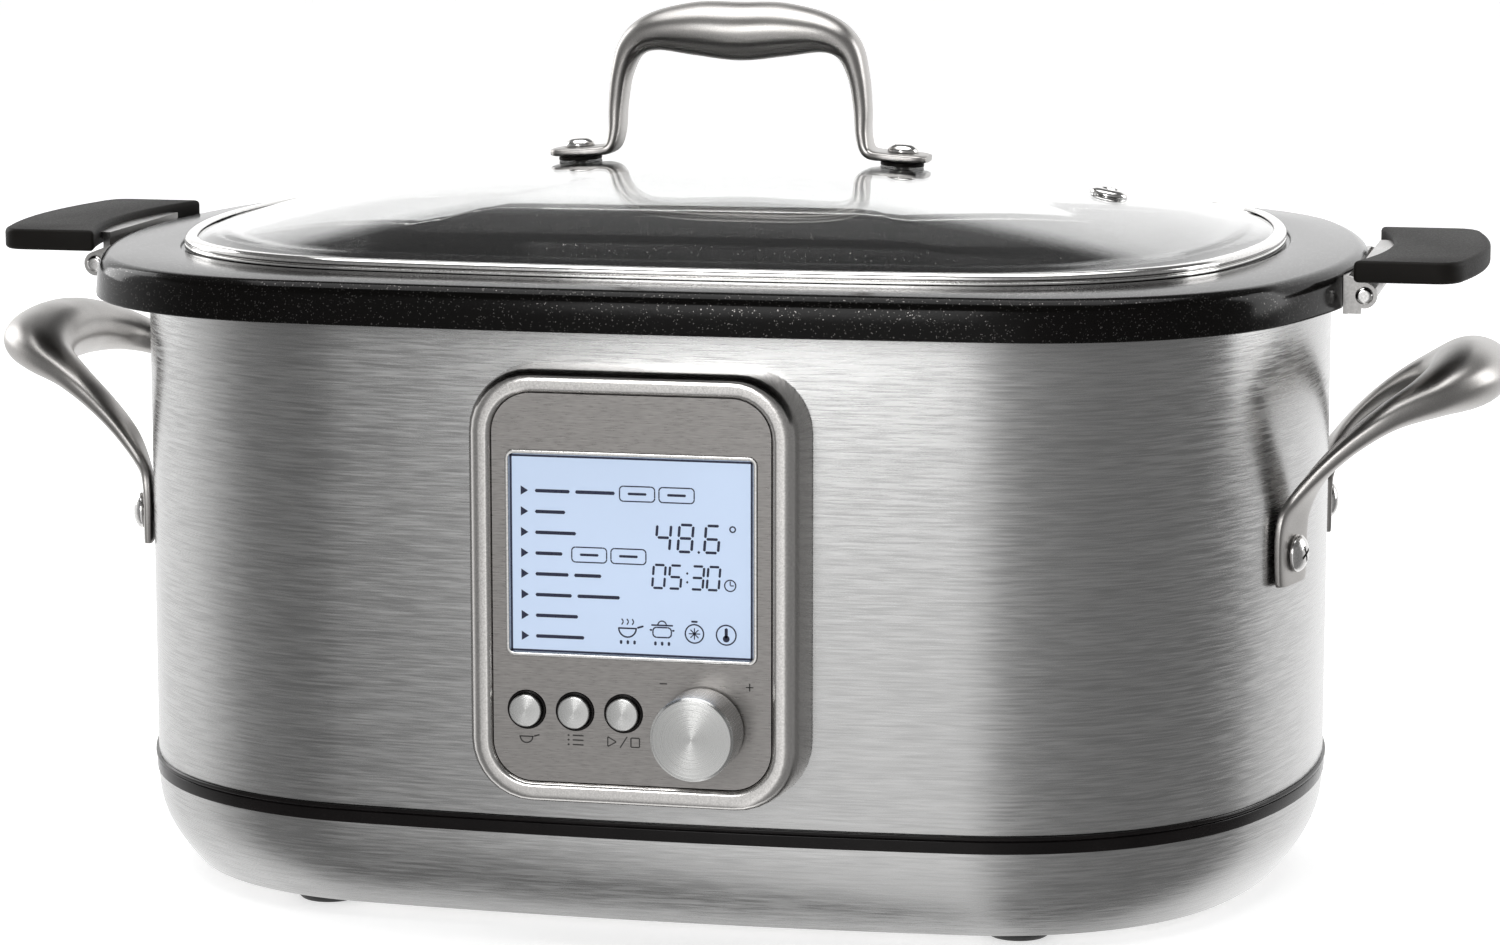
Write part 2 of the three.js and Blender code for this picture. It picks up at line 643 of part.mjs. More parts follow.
function sideHandleGeometry() {
  const lean = THREE.MathUtils.degToRad;
  const plate = 2;
  const turned = Math.cos(footTurn);
  const foot = (z, halfAcross) => {
    const x = footX + plate * turned;
    return [x, HANDLE_FOOT_Y + plate * Math.sin(footTurn), z, 90, halfAcross, 1.6, footTurn];
  };
  const half = [
    foot(HANDLE_FOOT_Z - 10, 9),
    foot(HANDLE_FOOT_Z - 8, 12),
    foot(HANDLE_FOOT_Z + 8, 12),
    [footX + 4.2, 54.5, 136, 76, 9.5, 2.2, footTurn],
    [207, 53, 146.5, 55, 8, 2.9, 0.1],
    [217, 51, 156.5, 40, 7.5, 3.6, 0],
    [229, 47, 165, 30, 8.5, 4.8, 0],
    [242, 38, 171, 20, 11, 7.4, 0],
    [250, 22, 173.8, 8, 13, 9.8, 0],
  ];
  const station = (sign) => ([x, y, z, degrees, halfAcross, halfUp, aside]) => ({
    at: new THREE.Vector3(x, sign * y, z),
    up: new THREE.Vector3(
      -Math.sin(lean(degrees)) * Math.cos(aside),
      -sign * Math.sin(lean(degrees)) * Math.sin(aside),
      Math.cos(lean(degrees)),
    ),
    halfAcross,
    halfUp,
  });
  const middle = station(1)([252, 0, 174.5, 0, 13.5, 11, 0]);
  const stations = [...half.map(station(-1)), middle, ...half.map(station(1)).reverse()];
  const body = loftProfile([[BODY, -FIT_GAP, 90], [BODY, -FIT_GAP, 190]], false);
  return cut(sweepBar(stations, 10, 2), body, handleScrewHole(1, 1), handleScrewHole(1, -1));
}

function buildSideHandles() {
  for (const [side, word] of SIDES) {
    piece(side, `side_handle_${word}`, sideHandleGeometry(), satin());
    for (const [sign, end] of ENDS) {
      const screw = alongX(turn([
        [0, -6], [2.2, -6], [2.2, 4.2], [6.2, 4.2], [5.8, 5.6], [3.8, 6.9], [0, 7.4],
      ], 12));
      const mesh = piece(side, `side_handle_screw_${word}_${end}`, screw, steel());
      mesh.position.set(footX, sign * HANDLE_FOOT_Y, HANDLE_FOOT_Z);
      mesh.rotation.z = sign * footTurn;
    }
  }
}

// ---------------------------------------------------------------- control panel

// A frame of rectangles with round corners, from a closed profile of [inset, height].
function frame(width, height, radius, profile) {
  return loft(profile.map(([inset, z]) => {
    const points = roundedRectangle(width - 2 * inset, height - 2 * inset, radius - inset);
    return points.map((p) => new THREE.Vector3(p.x, p.y, z));
  }), true);
}

function slab(width, height, radius, from, to) {
  return extrude(new THREE.Shape(roundedRectangle(width, height, radius)), from, to);
}

function buildPanel() {
  const middle = [0, PANEL_MIDDLE, 0];
  const screenAt = [0, SCREEN_MIDDLE, 0];
  const faceBack = FACE_FRONT - FACE_THICKNESS;
  const wallBack = BODY.halfDepth - 6;
  const bezel = frame(PANEL_WIDTH, PANEL_HEIGHT, PANEL_CORNER, [
    [0, wallBack],
    [0, PANEL_FRONT - 2.6],
    [0.8, PANEL_FRONT - 0.8],
    [2.6, PANEL_FRONT],
    [5, PANEL_FRONT],
    [FRAME_WIDTH, FACE_FRONT + 0.2],
    [FRAME_WIDTH, faceBack],
    [1.6, faceBack],
    [1.6, wallBack],
  ]);
  const body = loftProfile([[BODY, -FIT_GAP, 20], [BODY, -FIT_GAP, 210]], false);
  body.rotateX(-Math.PI / 2);
  piece(panel, 'panel_bezel', cut(bezel.translate(...middle), body), polished());

  const edge = FRAME_WIDTH + 0.1;
  const faceWidth = PANEL_WIDTH - 2 * edge;
  const faceHeight = PANEL_HEIGHT - 2 * edge;
  const face = slab(faceWidth, faceHeight, PANEL_CORNER - edge, faceBack, FACE_FRONT);
  const screenHole = slab(SCREEN_WIDTH + 3.2, SCREEN_HEIGHT + 3.2, 3, 150, 165);
  const buttonHoles = BUTTON_X.map((x) => rod(6.4, 150, 165, 16).translate(x, BUTTON_Z, 0));
  const knobHole = rod(4, 150, 165).translate(KNOB_X, KNOB_Z, 0);
  face.translate(...middle);
  screenHole.translate(...screenAt);
  piece(panel, 'panel_face', cut(face, screenHole, ...buttonHoles, knobHole), steel());

  const trim = frame(SCREEN_WIDTH + 2.8, SCREEN_HEIGHT + 2.8, 2.8, [
    [0, faceBack], [0, FACE_FRONT + 0.7], [1.2, FACE_FRONT + 0.7], [1.2, faceBack],
  ]);
  piece(panel, 'screen_frame', trim.translate(...screenAt), polished());
  const pane = slab(SCREEN_WIDTH, SCREEN_HEIGHT, 1.4, faceBack, FACE_FRONT - 0.1);
  piece(panel, 'screen_window', pane.translate(...screenAt), screen());
  const moduleDepth = 6.8;
  const display = new THREE.BoxGeometry(84, 70, moduleDepth);
  display.translate(0, SCREEN_MIDDLE, faceBack - moduleDepth / 2);
  piece(panel, 'display_module', display, plastic());
  const boardFront = faceBack - moduleDepth;
  const boardThickness = 1.6;
  const circuit = new THREE.BoxGeometry(86, 118, boardThickness);
  circuit.translate(0, PANEL_MIDDLE, boardFront - boardThickness / 2);
  piece(panel, 'control_board', circuit, board());
  return boardFront;
}

function buildButtons(boardFront) {
  const faceBack = FACE_FRONT - FACE_THICKNESS;
  BUTTON_X.forEach((x, i) => {
    const ringFront = FACE_FRONT + 0.4;
    const ring = turn([[5.5, faceBack], [6.2, faceBack], [6.2, ringFront], [5.5, ringFront]]);
    piece(panel, `button_ring_${i + 1}`, ring, plastic()).position.set(x, BUTTON_Z, 0);
    const cap = turn([
      [0, boardFront + 3.8],
      [2.5, boardFront + 3.8],
      [2.5, faceBack - 1.4],
      [6, faceBack - 1.4],
      [6, faceBack - 0.3],
      [BUTTON_RADIUS, faceBack - 0.3],
      [BUTTON_RADIUS, FACE_FRONT + 2],
      [BUTTON_RADIUS - 0.5, FACE_FRONT + 2.5],
      [0, FACE_FRONT + 2.5],
    ]);
    piece(panel, `button_${i + 1}`, cap, aluminium()).position.set(x, BUTTON_Z, 0);
  });
  const strip = new THREE.BoxGeometry(42, 6, 2.4).translate(BUTTON_X[1], BUTTON_Z, boardFront + 1.2);
  piece(panel, 'button_switch_strip', strip, plastic());
}

function buildKnob(boardFront) {
  const encoder = new THREE.BoxGeometry(12, 12, 5.5).translate(0, 0, boardFront + 2.75);
  piece(panel, 'knob_encoder', cut(encoder, rod(3.3, boardFront + 1.5, 200, 16)), satin());
  const shaft = rod(3, boardFront + 1.8, KNOB_FRONT - 4.3, 16);
  const body = turn([
    [0, KNOB_FRONT - 4],
    [3.2, KNOB_FRONT - 4],
    [3.2, FACE_FRONT + 1],
    [KNOB_RADIUS - 0.2, FACE_FRONT + 1],
    [KNOB_RADIUS, FACE_FRONT + 1.4],
    [KNOB_RADIUS, KNOB_FRONT - 0.8],
    [KNOB_RADIUS - 0.8, KNOB_FRONT],
    [0, KNOB_FRONT],
  ], 24);
  piece(panel, 'knob', body, aluminium()).position.set(KNOB_X, KNOB_Z, 0);
  piece(panel, 'knob_shaft', shaft, steel()).position.set(KNOB_X, KNOB_Z, 0);
  panel.getObjectByName('knob_encoder').position.set(KNOB_X, KNOB_Z, 0);
}

// ---------------------------------------------------------------- assembly

buildHousing();
buildHeater();
buildBase();
buildCordGland();
buildPot();
buildPotHandles();
buildLid();
buildLidHandle();
buildSideHandles();
const boardFront = buildPanel();
buildButtons(boardFront);
buildKnob(boardFront);

export default slowCooker;
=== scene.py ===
"""The looks of a slow cooker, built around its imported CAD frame.

Lengths are given in millimetres and built in metres. Each profile is a list of points with a rounding radius.
"""

import math

import bmesh
import bpy
import numpy as np
from mathutils import Matrix, Vector


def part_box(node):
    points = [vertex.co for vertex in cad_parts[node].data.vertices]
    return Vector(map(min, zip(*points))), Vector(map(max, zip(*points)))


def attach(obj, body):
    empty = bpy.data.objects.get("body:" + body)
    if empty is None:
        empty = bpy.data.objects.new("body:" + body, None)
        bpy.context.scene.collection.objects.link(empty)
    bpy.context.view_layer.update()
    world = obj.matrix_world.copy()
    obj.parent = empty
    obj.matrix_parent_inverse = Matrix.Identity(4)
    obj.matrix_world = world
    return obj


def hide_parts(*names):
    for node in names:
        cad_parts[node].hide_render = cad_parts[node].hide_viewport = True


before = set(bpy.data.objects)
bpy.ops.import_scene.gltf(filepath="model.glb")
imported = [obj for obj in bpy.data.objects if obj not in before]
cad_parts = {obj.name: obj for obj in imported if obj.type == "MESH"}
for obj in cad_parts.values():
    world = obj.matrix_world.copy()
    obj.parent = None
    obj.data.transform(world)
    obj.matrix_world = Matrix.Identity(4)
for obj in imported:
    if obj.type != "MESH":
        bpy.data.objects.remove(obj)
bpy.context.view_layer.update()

MM = 0.001
Y0 = 5.0  # the body's middle stands this far behind the origin
SIDES = ((1, "right"), (-1, "left"))
ENDS = ((-1, "front"), (1, "rear"))

# Plan outlines: half width, half depth, front radius, side radius, corner radius.
BODY = (204, 143, 1240, 198, 101)
RIM = (217.3, 166.5, 1603, 288, 95)
LID = (188, 141, 1100, 250, 88)
QUARTER_STEPS = (9, 16, 15)


def node_mm(node):
    """A CAD node's lowest and highest corners, in millimetres."""
    low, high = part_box(node)
    return np.array(low) / MM, np.array(high) / MM


def heights(node):
    """How high a CAD node's bottom and top are, in millimetres."""
    return [corner[2] for corner in node_mm(node)]


# ---------------------------------------------------------------- mesh helpers


def arc(centre, radius, start, stop, steps):
    angles = start + (stop - start) * np.arange(steps) / steps
    return np.stack([centre[0] + radius * np.cos(angles), centre[1] + radius * np.sin(angles)], 1)


def outline(form, inset=0.0):
    """A plan outline's points, counter-clockwise from +X, moved inwards by inset."""
    half_width, half_depth, front_radius, side_radius, corner_radius = form
    front = np.array([0.0, half_depth - front_radius])
    side = np.array([half_width - side_radius, 0.0])
    reach_front, reach_side = front_radius - corner_radius, side_radius - corner_radius
    apart = np.linalg.norm(side - front)
    along = (reach_front**2 - reach_side**2 + apart**2) / (2 * apart)
    across = math.sqrt(reach_front**2 - along**2)
    unit = (side - front) / apart
    corner = front + unit * along + np.array([unit[1], -unit[0]]) * across
    side_angle = math.atan2(*(corner - side)[::-1])
    front_angle = math.atan2(*(corner - front)[::-1])
    quarter = np.concatenate([
        arc(side, side_radius - inset, 0, side_angle, QUARTER_STEPS[0]),
        arc(corner, corner_radius - inset, side_angle, front_angle, QUARTER_STEPS[1]),
        arc(front, front_radius - inset, front_angle, math.pi / 2, QUARTER_STEPS[2]),
    ])
    middle = np.array([[0.0, half_depth - inset]])
    upper = np.concatenate([quarter, middle, quarter[::-1] * [-1, 1]])
    return np.concatenate([upper, upper[1:-1][::-1] * [1, -1]])


def level(form, inset, z):
    points = outline(form, inset)
    return np.column_stack([points[:, 0], points[:, 1] + Y0, np.full(len(points), z)])


def circle(radius, z, sides=48):
    angles = 2 * math.pi * np.arange(sides) / sides
    return np.column_stack([radius * np.cos(angles), radius * np.sin(angles), np.full(sides, z)])


def rounded_rectangle(width, height, radius, steps=9):
    x, y = width / 2 - radius, height / 2 - radius
    corners = [(x, y), (-x, y), (-x, -y), (x, -y)]
    quarter = math.pi / 2 * steps / (steps - 1)
    turns = [i * math.pi / 2 for i in range(4)]
    return np.concatenate([arc(c, radius, a, a + quarter, steps) for c, a in zip(corners, turns)])


def rounded(rings, radii, looped, steps=4):
    """The rings with a round of the given radius in place of each ring that has one."""
    made = []
    count = len(rings)
    for i, (ring, radius) in enumerate(zip(rings, radii)):
        if not radius or (not looped and i in (0, count - 1)):
            made.append(ring)
            continue
        before, after = rings[i - 1] - ring, rings[(i + 1) % count] - ring
        start = ring + before / np.linalg.norm(before, axis=1)[:, None] * radius
        stop = ring + after / np.linalg.norm(after, axis=1)[:, None] * radius
        for k in range(steps + 1):
            t = k / steps
            made.append((1 - t) ** 2 * start + 2 * t * (1 - t) * ring + t**2 * stop)
    return made


def new_object(name, vertices, faces, angle=35, recalculate=True):
    mesh = bpy.data.meshes.new(name)
    mesh.from_pydata([tuple(v) for v in np.asarray(vertices, float) * MM], [], faces)
    if recalculate:
        bm = bmesh.new()
        bm.from_mesh(mesh)
        bmesh.ops.recalc_face_normals(bm, faces=bm.faces)
        bm.to_mesh(mesh)
        bm.free()
    obj = bpy.data.objects.new(name, mesh)
    bpy.context.scene.collection.objects.link(obj)
    return smooth(obj, angle)


def smooth(obj, angle=35):
    obj.data.shade_smooth()
    obj.data.set_sharp_from_angle(angle=math.radians(angle))
    return obj


def loft(name, rings, looped, angle=35):
    """One closed surface through rings of equal length. A looped list closes, an open one is capped."""
    count = len(rings[0])
    vertices = np.concatenate(rings)
    faces = []
    for r in range(len(rings) if looped else len(rings) - 1):
        here, there = r * count, (r + 1) % len(rings) * count
        for i in range(count):
            after = (i + 1) % count
            faces.append((here + i, here + after, there + after, there + i))
    if not looped:
        last = (len(rings) - 1) * count
        faces += [tuple(range(count))[::-1], tuple(range(last, last + count))]
    return new_object(name, vertices, faces, angle)


def loft_levels(name, profile, looped, angle=35, steps=4):
    """A loft of plan outlines from a list of (form, inset, z, radius)."""
    rings = [level(form, inset, z) for form, inset, z, _ in profile]
    return loft(name, rounded(rings, [p[3] for p in profile], looped, steps), looped, angle)


def turned(name, profile, sides=48, angle=35, steps=4):
    """A turned solid about +Z from a list of (radius, z, round)."""
    looped = profile[0][0] > 0
    rings = [circle(max(radius, 0.01), z, sides) for radius, z, _ in profile]
    return loft(name, rounded(rings, [p[2] for p in profile], looped, steps), looped, angle)


def place(obj, at, *turns):
    """Turns the mesh by (degrees, axis) in order, then moves it to a point in millimetres."""
    matrix = Matrix.Identity(4)
    for degrees, axis in turns:
        matrix = Matrix.Rotation(math.radians(degrees), 4, axis) @ matrix
    obj.data.transform(Matrix.Translation(Vector(at) * MM) @ matrix)
    return obj


def mirrored(obj, sign):
    if sign < 0:
        obj.data.transform(Matrix.Scale(-1, 4, (1, 0, 0)))
        obj.data.flip_normals()
    return obj


def applied(obj):
    """Bakes the object's modifiers into its mesh."""
    graph = bpy.context.evaluated_depsgraph_get()
    mesh = bpy.data.meshes.new_from_object(obj.evaluated_get(graph))
    obj.modifiers.clear()
    obj.data = mesh
    return obj


def cut(obj, *tools):
    for tool in tools:
        modifier = obj.modifiers.new("cut", "BOOLEAN")
        modifier.object = tool
        modifier.solver = "EXACT"
    bpy.context.view_layer.update()
    applied(obj)
    for tool in tools:
        bpy.data.objects.remove(tool)
    return smooth(obj, 30)


def box_tool(low, high):
    x, y, z = zip(low, high)
    vertices = [(a, b, c) for a in x for b in y for c in z]
    faces = [(0, 1, 3, 2), (4, 6, 7, 5), (0, 4, 5, 1), (2, 3, 7, 6), (0, 2, 6, 4), (1, 5, 7, 3)]
    return new_object("tool", vertices, faces)


def cross_slots(reach, half, low, high):
    """The two tools that cut a cross recess into a screw head."""
    return [box_tool((-x, -y, low), (x, y, high)) for x, y in ((reach, half), (half, reach))]


def prism(name, points, low, high, angle=35):
    """A flat shape in the X-Z plane, given as (x, z) points, from y low to y high."""
    count = len(points)
    vertices = [(x, y, z) for y in (low, high) for x, z in points]
    faces = [(i, (i + 1) % count, count + (i + 1) % count, count + i) for i in range(count)]
    faces += [tuple(range(count))[::-1], tuple(range(count, 2 * count))]
    return new_object(name, vertices, faces, angle)


def bevelled(obj, width, segments=3, angle=30):
    modifier = obj.modifiers.new("bevel", "BEVEL")
    modifier.width = width * MM
    modifier.segments = segments
    modifier.limit_method = "ANGLE"
    modifier.angle_limit = math.radians(angle)
    modifier.harden_normals = False
    return obj


def spline(values, t):
    """A smooth curve through rows of values, at t from 0 to 1."""
    values = np.asarray(values, float)
    padded = np.concatenate([2 * values[:1] - values[1:2], values, 2 * values[-1:] - values[-2:-1]])
    where = t * (len(values) - 1)
    i = min(int(where), len(values) - 2)
    u = where - i
    a, b, c, d = padded[i : i + 4]
    square, cube = 2 * a - 5 * b + 4 * c - d, 3 * b - a - 3 * c + d
    return 0.5 * (2 * b + (c - a) * u + square * u**2 + cube * u**3)


def sweep(name, stations, sides=36, pieces=7):
    """A bar along stations (at, up, half across, half up, squareness), oval at 2 and boxy at 6."""
    at = np.array([s[0] for s in stations], float)
    rest = np.array([[*s[1], *s[2:]] for s in stations], float)
    steps = (len(stations) - 1) * pieces
    angles = 2 * math.pi * (np.arange(sides) + 0.5) / sides
    rings = []
    for i in range(steps + 1):
        t = i / steps
        tangent = spline(at, min(1, t + 1e-3)) - spline(at, max(0, t - 1e-3))
        tangent /= np.linalg.norm(tangent)
        *up, half_across, half_up, squareness = spline(rest, t)
        across = np.cross(up, tangent)
        across /= np.linalg.norm(across)
        up = np.cross(tangent, across)
        power = 2 / squareness
        u = np.sign(np.cos(angles)) * np.abs(np.cos(angles)) ** power * half_across
        v = np.sign(np.sin(angles)) * np.abs(np.sin(angles)) ** power * half_up
        rings.append(spline(at, t) + u[:, None] * across + v[:, None] * up)
    return loft(name, rings, False, 50)


# ---------------------------------------------------------------- materials


class Nodes:
    """A material's node tree, with short calls to add and join nodes."""

    def __init__(self, name, color, metallic=0.0, roughness=0.5, **extra):
        self.material = bpy.data.materials.new(name)
        self.material.use_nodes = True
        self.tree = self.material.node_tree
        self.shader = self.tree.nodes["Principled BSDF"]
        self.set("Base Color", (*color, 1))
        self.set("Metallic", metallic)
        self.set("Roughness", roughness)
        for key, value in extra.items():
            self.set(key.replace("_", " "), value)
        self.color = color

    def set(self, socket, value):
        self.shader.inputs[socket].default_value = value

    def add(self, kind, inputs=None, **settings):
        node = self.tree.nodes.new(kind)
        for key, value in settings.items():
            setattr(node, key, value)
        for key, value in (inputs or {}).items():
            if isinstance(value, bpy.types.NodeSocket):
                self.tree.links.new(value, node.inputs[key])
            else:
                node.inputs[key].default_value = value
        return node

    def noise(self, scale, detail=2.0, stretch=(1, 1, 1), roughness=0.5):
        where = self.add("ShaderNodeTexCoord").outputs["Object"]
        scaled = self.add("ShaderNodeMapping", {"Vector": where, "Scale": stretch}).outputs[0]
        inputs = {"Vector": scaled, "Scale": scale, "Detail": detail, "Roughness": roughness}
        return self.add("ShaderNodeTexNoise", inputs).outputs[0]

    def spread(self, value, low, high, start=0.3, stop=0.7):
        """A value from start to stop mapped to low to high."""
        inputs = {"Value": value, "From Min": start, "From Max": stop, "To Min": low, "To Max": high}
        return self.add("ShaderNodeMapRange", inputs).outputs[0]

    def tint(self, value, low, high, start=0.3, stop=0.7):
        """Base colour varied between two multiples of itself."""
        factor = self.spread(value, 0, 1, start, stop)
        mixed = self.add("ShaderNodeMix", {"Factor": factor}, data_type="RGBA")
        mixed.inputs[6].default_value = (*[c * low for c in self.color], 1)
        mixed.inputs[7].default_value = (*[min(1, c * high) for c in self.color], 1)
        self.link(mixed.outputs[2], "Base Color")
        return self

    def link(self, value, socket):
        self.tree.links.new(value, self.shader.inputs[socket])
        return self

    def bump(self, value, distance, strength=0.5):
        node = self.add("ShaderNodeBump", {"Height": value, "Distance": distance, "Strength": strength})
        return self.link(node.outputs[0], "Normal")

    def turned_about(self, axis, amount, rotation):
        node = self.add("ShaderNodeTangent", direction_type="RADIAL", axis=axis)
        self.link(node.outputs[0], "Tangent")
        self.set("Anisotropic", amount)
        self.set("Anisotropic Rotation", rotation)
        return self


def brushed_steel(name, color, roughness, stretch, tangent=True, strength=0.22):
    made = Nodes(name, color, 1.0, roughness)
    fine = made.noise(1.0, 3.0, stretch, 0.7)
    short = made.noise(1.0, 1.0, (stretch[0] * 3.1, stretch[1] * 3.1, stretch[2] * 1.7))
    both = made.add("ShaderNodeMath", {0: fine, 1: short}, operation="ADD").outputs[0]
    made.tint(both, 0.84, 1.12, 0.75, 1.25)
    made.link(made.spread(both, roughness - 0.05, roughness + 0.09, 0.7, 1.3), "Roughness")
    made.bump(both, 0.00006, strength)
    if tangent:
        made.turned_about("Z", 0.45, 0.25)
    return made.material


def satin_metal(name, color, roughness, grain=2600.0, bump=0.00003):
    made = Nodes(name, color, 1.0, roughness)
    grainy = made.noise(grain, 2.0)
    cloudy = made.noise(38.0, 3.0)
    made.tint(grainy, 0.88, 1.1)
    made.link(made.spread(cloudy, roughness - 0.04, roughness + 0.06), "Roughness")
    made.bump(grainy, bump, 0.35)
    return made.material


def spun_metal(name, color, roughness, axis):
    made = Nodes(name, color, 1.0, roughness)
    where = made.add("ShaderNodeTexCoord").outputs["Generated"]
    centred = made.add("ShaderNodeVectorMath", {0: where, 1: (0.5, 0.5, 0.5)}, operation="SUBTRACT")
    across = tuple(float(a != axis) for a in "XYZ")
    flat = made.add("ShaderNodeVectorMath", {0: centred.outputs[0], 1: across}, operation="MULTIPLY")
    radius = made.add("ShaderNodeVectorMath", {0: flat.outputs[0]}, operation="LENGTH").outputs["Value"]
    inputs = {"W": radius, "Scale": 95.0, "Detail": 3.0}
    rings = made.add("ShaderNodeTexNoise", inputs, noise_dimensions="1D").outputs[0]
    made.tint(rings, 0.86, 1.1)
    made.link(made.spread(rings, roughness - 0.05, roughness + 0.06), "Roughness")
    made.bump(rings, 0.00003, 0.3)
    made.turned_about(axis, 0.85, 0.25)
    return made.material


def moulded(name, color, roughness, grain=1800.0, bump=0.00005, **extra):
    made = Nodes(name, color, 0.0, roughness, **extra)
    grainy = made.noise(grain, 3.0)
    made.tint(made.noise(60.0, 3.0), 0.85, 1.25)
    made.link(made.spread(grainy, roughness - 0.06, roughness + 0.08), "Roughness")
    made.bump(grainy, bump, 0.3)
    return made.material


def speckled_enamel(name, color, roughness, fleck):
    made = Nodes(name, color, 0.0, roughness, Specular_IOR_Level=0.1)
    where = made.add("ShaderNodeTexCoord").outputs["Object"]
    grain = made.add("ShaderNodeTexVoronoi", {"Vector": where, "Scale": 3000.0}).outputs["Color"]
    grain = made.add("ShaderNodeSeparateColor", {0: grain}).outputs[0]
    flecks = made.spread(grain, 0, 1, 0.955, 0.995)
    mixed = made.add("ShaderNodeMix", {"Factor": flecks}, data_type="RGBA")
    mixed.inputs[6].default_value = (*color, 1)
    mixed.inputs[7].default_value = (*fleck, 1)
    made.link(mixed.outputs[2], "Base Color")
    made.link(made.spread(grain, 0, 0.9, 0.955, 0.99), "Metallic")
    made.bump(made.noise(900.0, 2.0), 0.00004, 0.25)
    return made.material


BRUSHED = brushed_steel("brushed_body", (0.55, 0.548, 0.545), 0.25, (28, 28, 1150))
FACE = brushed_steel("brushed_face", (0.34, 0.325, 0.314), 0.3, (90, 90, 1900), False)
WELL = brushed_steel("drawn_well", (0.5, 0.49, 0.48), 0.34, (40, 40, 1200))
SATIN = satin_metal("blasted_steel", (0.47, 0.455, 0.44), 0.33)
BRACKET = satin_metal("bracket_steel", (0.46, 0.45, 0.44), 0.3, 1500.0, 0.00001)
POLISHED = satin_metal("polished_frame", (0.76, 0.74, 0.72), 0.2, 1800.0, 0.00001)
BRIGHT = satin_metal("bright_steel", (0.8, 0.79, 0.775), 0.12, 1500.0, 0.000006)
PLATED = satin_metal("plated_screw", (0.74, 0.73, 0.72), 0.2, 1500.0, 0.00001)
CAST = satin_metal("cast_plate", (0.6, 0.6, 0.6), 0.42, 900.0, 0.0001)
SPUN_KNOB = spun_metal("spun_knob", (0.66, 0.66, 0.65), 0.26, "Y")
SPUN_BUTTON = spun_metal("spun_button", (0.68, 0.68, 0.67), 0.22, "Y")
SILICONE = moulded("black_silicone", (0.009, 0.008, 0.007), 0.5, Specular_IOR_Level=0.08)
FOOT_RUBBER = moulded("foot_rubber", (0.015, 0.015, 0.015), 0.6)
GLOSS_BLACK = moulded("gloss_black", (0.006, 0.005, 0.005), 0.16, 700.0, 0.000008, Specular_IOR_Level=0.15)
MATTE_BLACK = moulded("matte_black", (0.02, 0.019, 0.018), 0.55)
BOARD = moulded("circuit_board", (0.02, 0.12, 0.05), 0.4)
MARK = moulded("printed_mark", (0.02, 0.018, 0.017), 0.45)
ENAMEL = speckled_enamel("speckled_enamel", (0.003, 0.0027, 0.0025), 0.14, (0.12, 0.115, 0.11))
NAVY = moulded("display_ink", (0.006, 0.01, 0.04), 0.3)


def display_glass():
    glow = {"Emission_Color": (0.55, 0.67, 0.88, 1), "Emission_Strength": 0.3}
    made = Nodes("display_glass", (0.4, 0.48, 0.61), 0.0, 0.22, **glow)
    made.tint(made.noise(14.0, 1.0), 0.95, 1.05)
    made.link(made.spread(made.noise(2000.0, 1.0), 0.2, 0.27), "Roughness")
    return made.material


def clear_glass():
    made = Nodes("clear_glass", (0.985, 0.99, 0.988), 0.0, 0.0, Transmission_Weight=1.0, IOR=1.5)
    made.link(made.spread(made.noise(9.0, 2.0), 0.0, 0.012), "Roughness")
    return made.material


DISPLAY = display_glass()
GLASS = clear_glass()


def dress(obj, material, body=None, node=None):
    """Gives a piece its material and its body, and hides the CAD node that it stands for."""
    obj.data.materials.clear()
    obj.data.materials.append(material)
    if body:
        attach(obj, body)
    if node:
        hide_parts(node)
    return obj


def keep(node, material, bevel=0.0):
    """A CAD node that stays, with a better material and softer edges."""
    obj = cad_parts[node]
    obj.data.materials.clear()
    obj.data.materials.append(material)
    if bevel:
        bevelled(obj, bevel, 2)
    return obj


# ---------------------------------------------------------------- camera, light and floor

camera = bpy.data.objects.new("camera", bpy.data.cameras.new("camera"))
bpy.context.scene.collection.objects.link(camera)
camera.location = (0.34136, -1.52793, 0.38138)
camera.rotation_euler = (math.radians(90 - 9.0491), 0, math.radians(12.4316))
camera.data.lens = 109.06
camera.data.sensor_width = 36
camera.data.clip_end = 60
bpy.context.scene.camera = camera
bpy.context.scene.view_settings.view_transform = "Standard"


